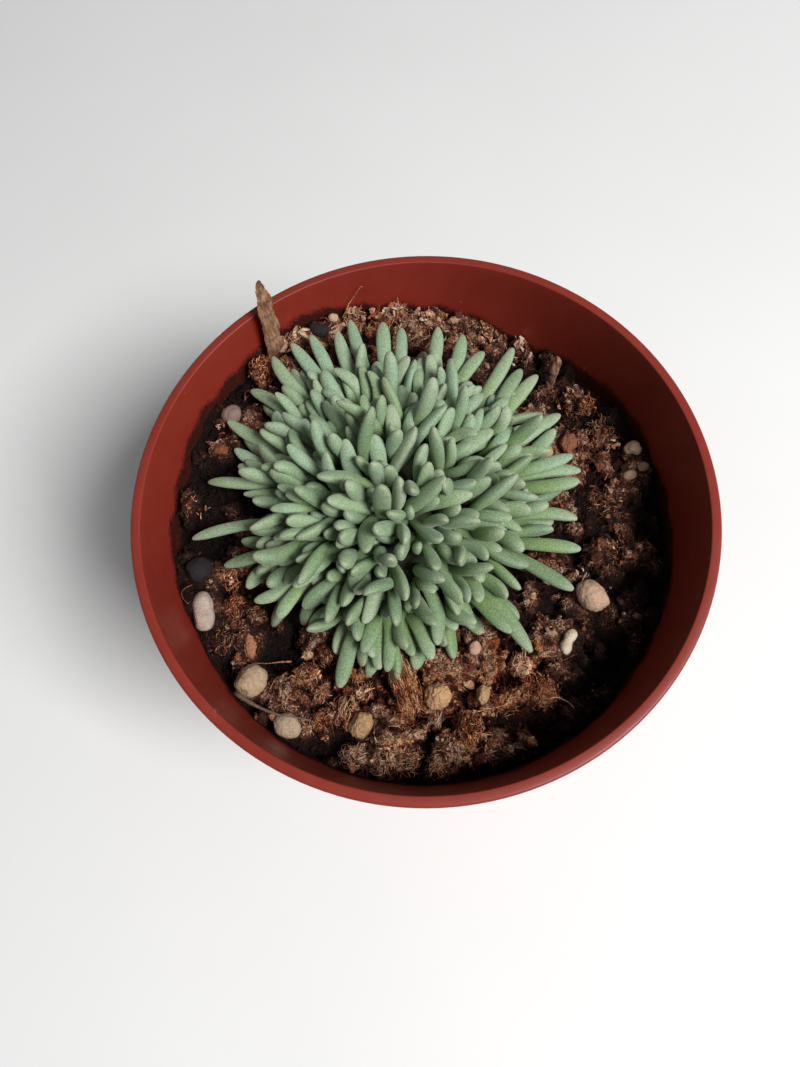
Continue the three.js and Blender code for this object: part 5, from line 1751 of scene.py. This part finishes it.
class PLANT_OT_cushion(bpy.types.Operator):
    """The plant: its finger-shaped leaves and the dense stems under them"""

    bl_idname = "plant.make_cushion"
    bl_label = "Cushion"

    def execute(self, context):
        look = context.scene.plant_look
        line, half, face, outer = grown_leaves()
        random = np.random.default_rng(5)
        leaf = finger(8, LEAF_CUTS, 0.56, 0.9)
        count = len(line)
        line = self.swayed(line, face, random)
        taper = np.where(outer, 0.26, 0.12 * random.random(count))
        along = positions(leaf.data)[:, 2]
        half_widths = ((half * np.where(outer, 1.22, 1.38))[:, None]
                       * (1 + taper[:, None] * (0.45 - along[None, :])))
        # Painted light and shade: leaves towards the back get a lighter tone, those at the front a
        # darker one
        back = np.clip(line[:, -1, 1] / 30, -1, 1)
        painted_light_by_side = np.where(back > 0, 0.25, 0.45) * back
        tone = np.clip(0.42 + 0.25 * random.standard_normal(count) + painted_light_by_side, 0, 1)
        # The green of the leaf base reaches further up on the right and at the front, as a painted
        # glow of light through the leaves
        painted_glow_side = (line[:, -1, 0] - 0.6 * line[:, -1, 1]) / 40
        green_and_glow = np.clip(0.36 + 0.5 * painted_glow_side + 0.20 * random.standard_normal(count), 0, 1)
        leaves = laid_copies("cushion_leaves", leaf, line, half_widths, face,
                             {"tone": tone, "green_and_glow": green_and_glow})
        remove(leaf)
        apply_modifier(leaves, "rounded", "SUBSURF", levels=1, render_levels=1)
        leaves.data.materials.append(leaf_material(look))
        join_to_part(leaves, "cushion", "cushion")
        self.make_stems()
        return {"FINISHED"}

    def swayed(self, line, face, random):
        """Bends each leaf a little to its side, between its root and its tip."""
        chord = line[:, -1] - line[:, 0]
        length = np.linalg.norm(chord, axis=1)
        side = np.cross(chord, face)
        side /= np.linalg.norm(side, axis=1, keepdims=True) + 1e-9
        reach = np.clip(0.05 * random.standard_normal(len(line)), -0.09, 0.09) * length
        t = np.linspace(0, 1, line.shape[1])
        return line + side[:, None, :] * (reach[:, None] * 4 * t * (1 - t))[:, :, None]

    def make_stems(self):
        """The dome of short stems and old leaf bases, with the foot in the soil, coloured near
        black as painted shade between the leaves.
        """
        foot = RIM_Z - FOOT_DEPTH
        profile = [(0, foot), (FOOT_RADIUS - 2, foot), *STEMS_EDGE]
        profile += [(CUSHION_REACH[0] * share,
                     RIM_Z - CROWN_DEPTH - DOME_FALL * share ** DOME_POWER - STEMS_DEPTH)
                    for share in np.linspace(1, 0, 24)]
        stems = turned("cushion_stems", profile, 96)
        places = positions(stems.data) / MM
        share = np.hypot(places[:, 0], places[:, 1]) / CUSHION_REACH[0]
        top = places[:, 2] > STEMS_EDGE[-1][1] + 0.1
        places[:, 1] *= CUSHION_REACH[1] / CUSHION_REACH[0]
        tilt = DOME_TILT * places[:, 1] / CUSHION_REACH[1]
        places[top, 2] += tilt[top]
        places[top, 1] -= (DOME_LEAN * (1 - share ** 2))[top]
        places[:, 0] += CUSHION_CENTRE[0]
        places[:, 1] += CUSHION_CENTRE[1]
        set_positions(stems.data, places * MM)
        roughen(stems, "stem bundles", "CLOUDS", 2.2, 1.2, noise_depth=2)
        smooth(stems, 180)
        stems.data.materials.append(stem_material())
        join_to_part(stems, "cushion")


class PLANT_OT_stage(bpy.types.Operator):
    """The camera at the photograph's angle, the soft light and the pale floor"""

    bl_idname = "plant.set_stage"
    bl_label = "Stage"

    def execute(self, context):
        scene = context.scene
        look = scene.stage_look
        self.set_camera(scene, look)
        deselect()
        bpy.ops.mesh.primitive_plane_add(size=4)
        floor = finished("floor")
        floor.data.materials.append(floor_material())
        self.add_light("key light", KEY_PLACE, KEY_SIZE, look.key)
        world = bpy.data.worlds.new("soft sky")
        world.use_nodes = True
        sky = world.node_tree.nodes["Background"]
        sky.inputs["Color"].default_value = SKY
        sky.inputs["Strength"].default_value = look.sky
        scene.world = world
        scene.view_settings.view_transform = "Standard"
        return {"FINISHED"}

    def set_camera(self, scene, look):
        """The photograph was taken from close above the front of the pot."""
        camera = bpy.data.cameras.new("camera")
        camera.lens = look.lens
        camera.clip_start = 0.005
        eye = linked("camera", camera)
        turn = Matrix((CAMERA_RIGHT, CAMERA_UP, CAMERA_BACK)).transposed().to_4x4()
        eye.matrix_world = Matrix.Translation(CAMERA_PLACE) @ turn
        scene.camera = eye

    def add_light(self, name, place, size, power):
        lamp = bpy.data.lights.new(name, "AREA")
        lamp.size = size
        lamp.energy = power
        light = linked(name, lamp)
        light.location = place
        aim = Vector(LIT_POINT) - light.location
        light.rotation_euler = aim.to_track_quat("-Z", "Y").to_euler()


class VIEW3D_PT_potted_plant(bpy.types.Panel):
    """A button for each piece and the stage, and what may be changed"""

    bl_label = "Potted plant"
    bl_space_type = "VIEW_3D"
    bl_region_type = "UI"
    bl_category = "Potted plant"

    def draw(self, context):
        for operator in OPERATORS:
            self.layout.operator(operator.bl_idname)
        for look in LOOKS:
            group = getattr(context.scene, look)
            for key in group.__annotations__:
                self.layout.prop(group, key)


OPERATORS = (PLANT_OT_stage, PLANT_OT_pot, PLANT_OT_soil, PLANT_OT_stones, PLANT_OT_bark,
             PLANT_OT_cushion)
LOOKS = {"pot_look": PotLook, "plant_look": PlantLook, "soil_look": SoilLook,
         "stage_look": StageLook}


def register():
    for look, group in LOOKS.items():
        bpy.utils.register_class(group)
        setattr(bpy.types.Scene, look, PointerProperty(type=group))
    for operator in OPERATORS:
        bpy.utils.register_class(operator)
    bpy.utils.register_class(VIEW3D_PT_potted_plant)


def unregister():
    bpy.utils.unregister_class(VIEW3D_PT_potted_plant)
    for operator in reversed(OPERATORS):
        bpy.utils.unregister_class(operator)
    for look, group in LOOKS.items():
        delattr(bpy.types.Scene, look)
        bpy.utils.unregister_class(group)


def main():
    register()
    deselect()
    bpy.ops.plant.set_stage()
    bpy.ops.plant.make_pot()
    bpy.ops.plant.make_soil()
    bpy.ops.plant.make_stones()
    bpy.ops.plant.make_bark()
    bpy.ops.plant.make_cushion()
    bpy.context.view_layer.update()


if __name__ == "__main__":
    main()
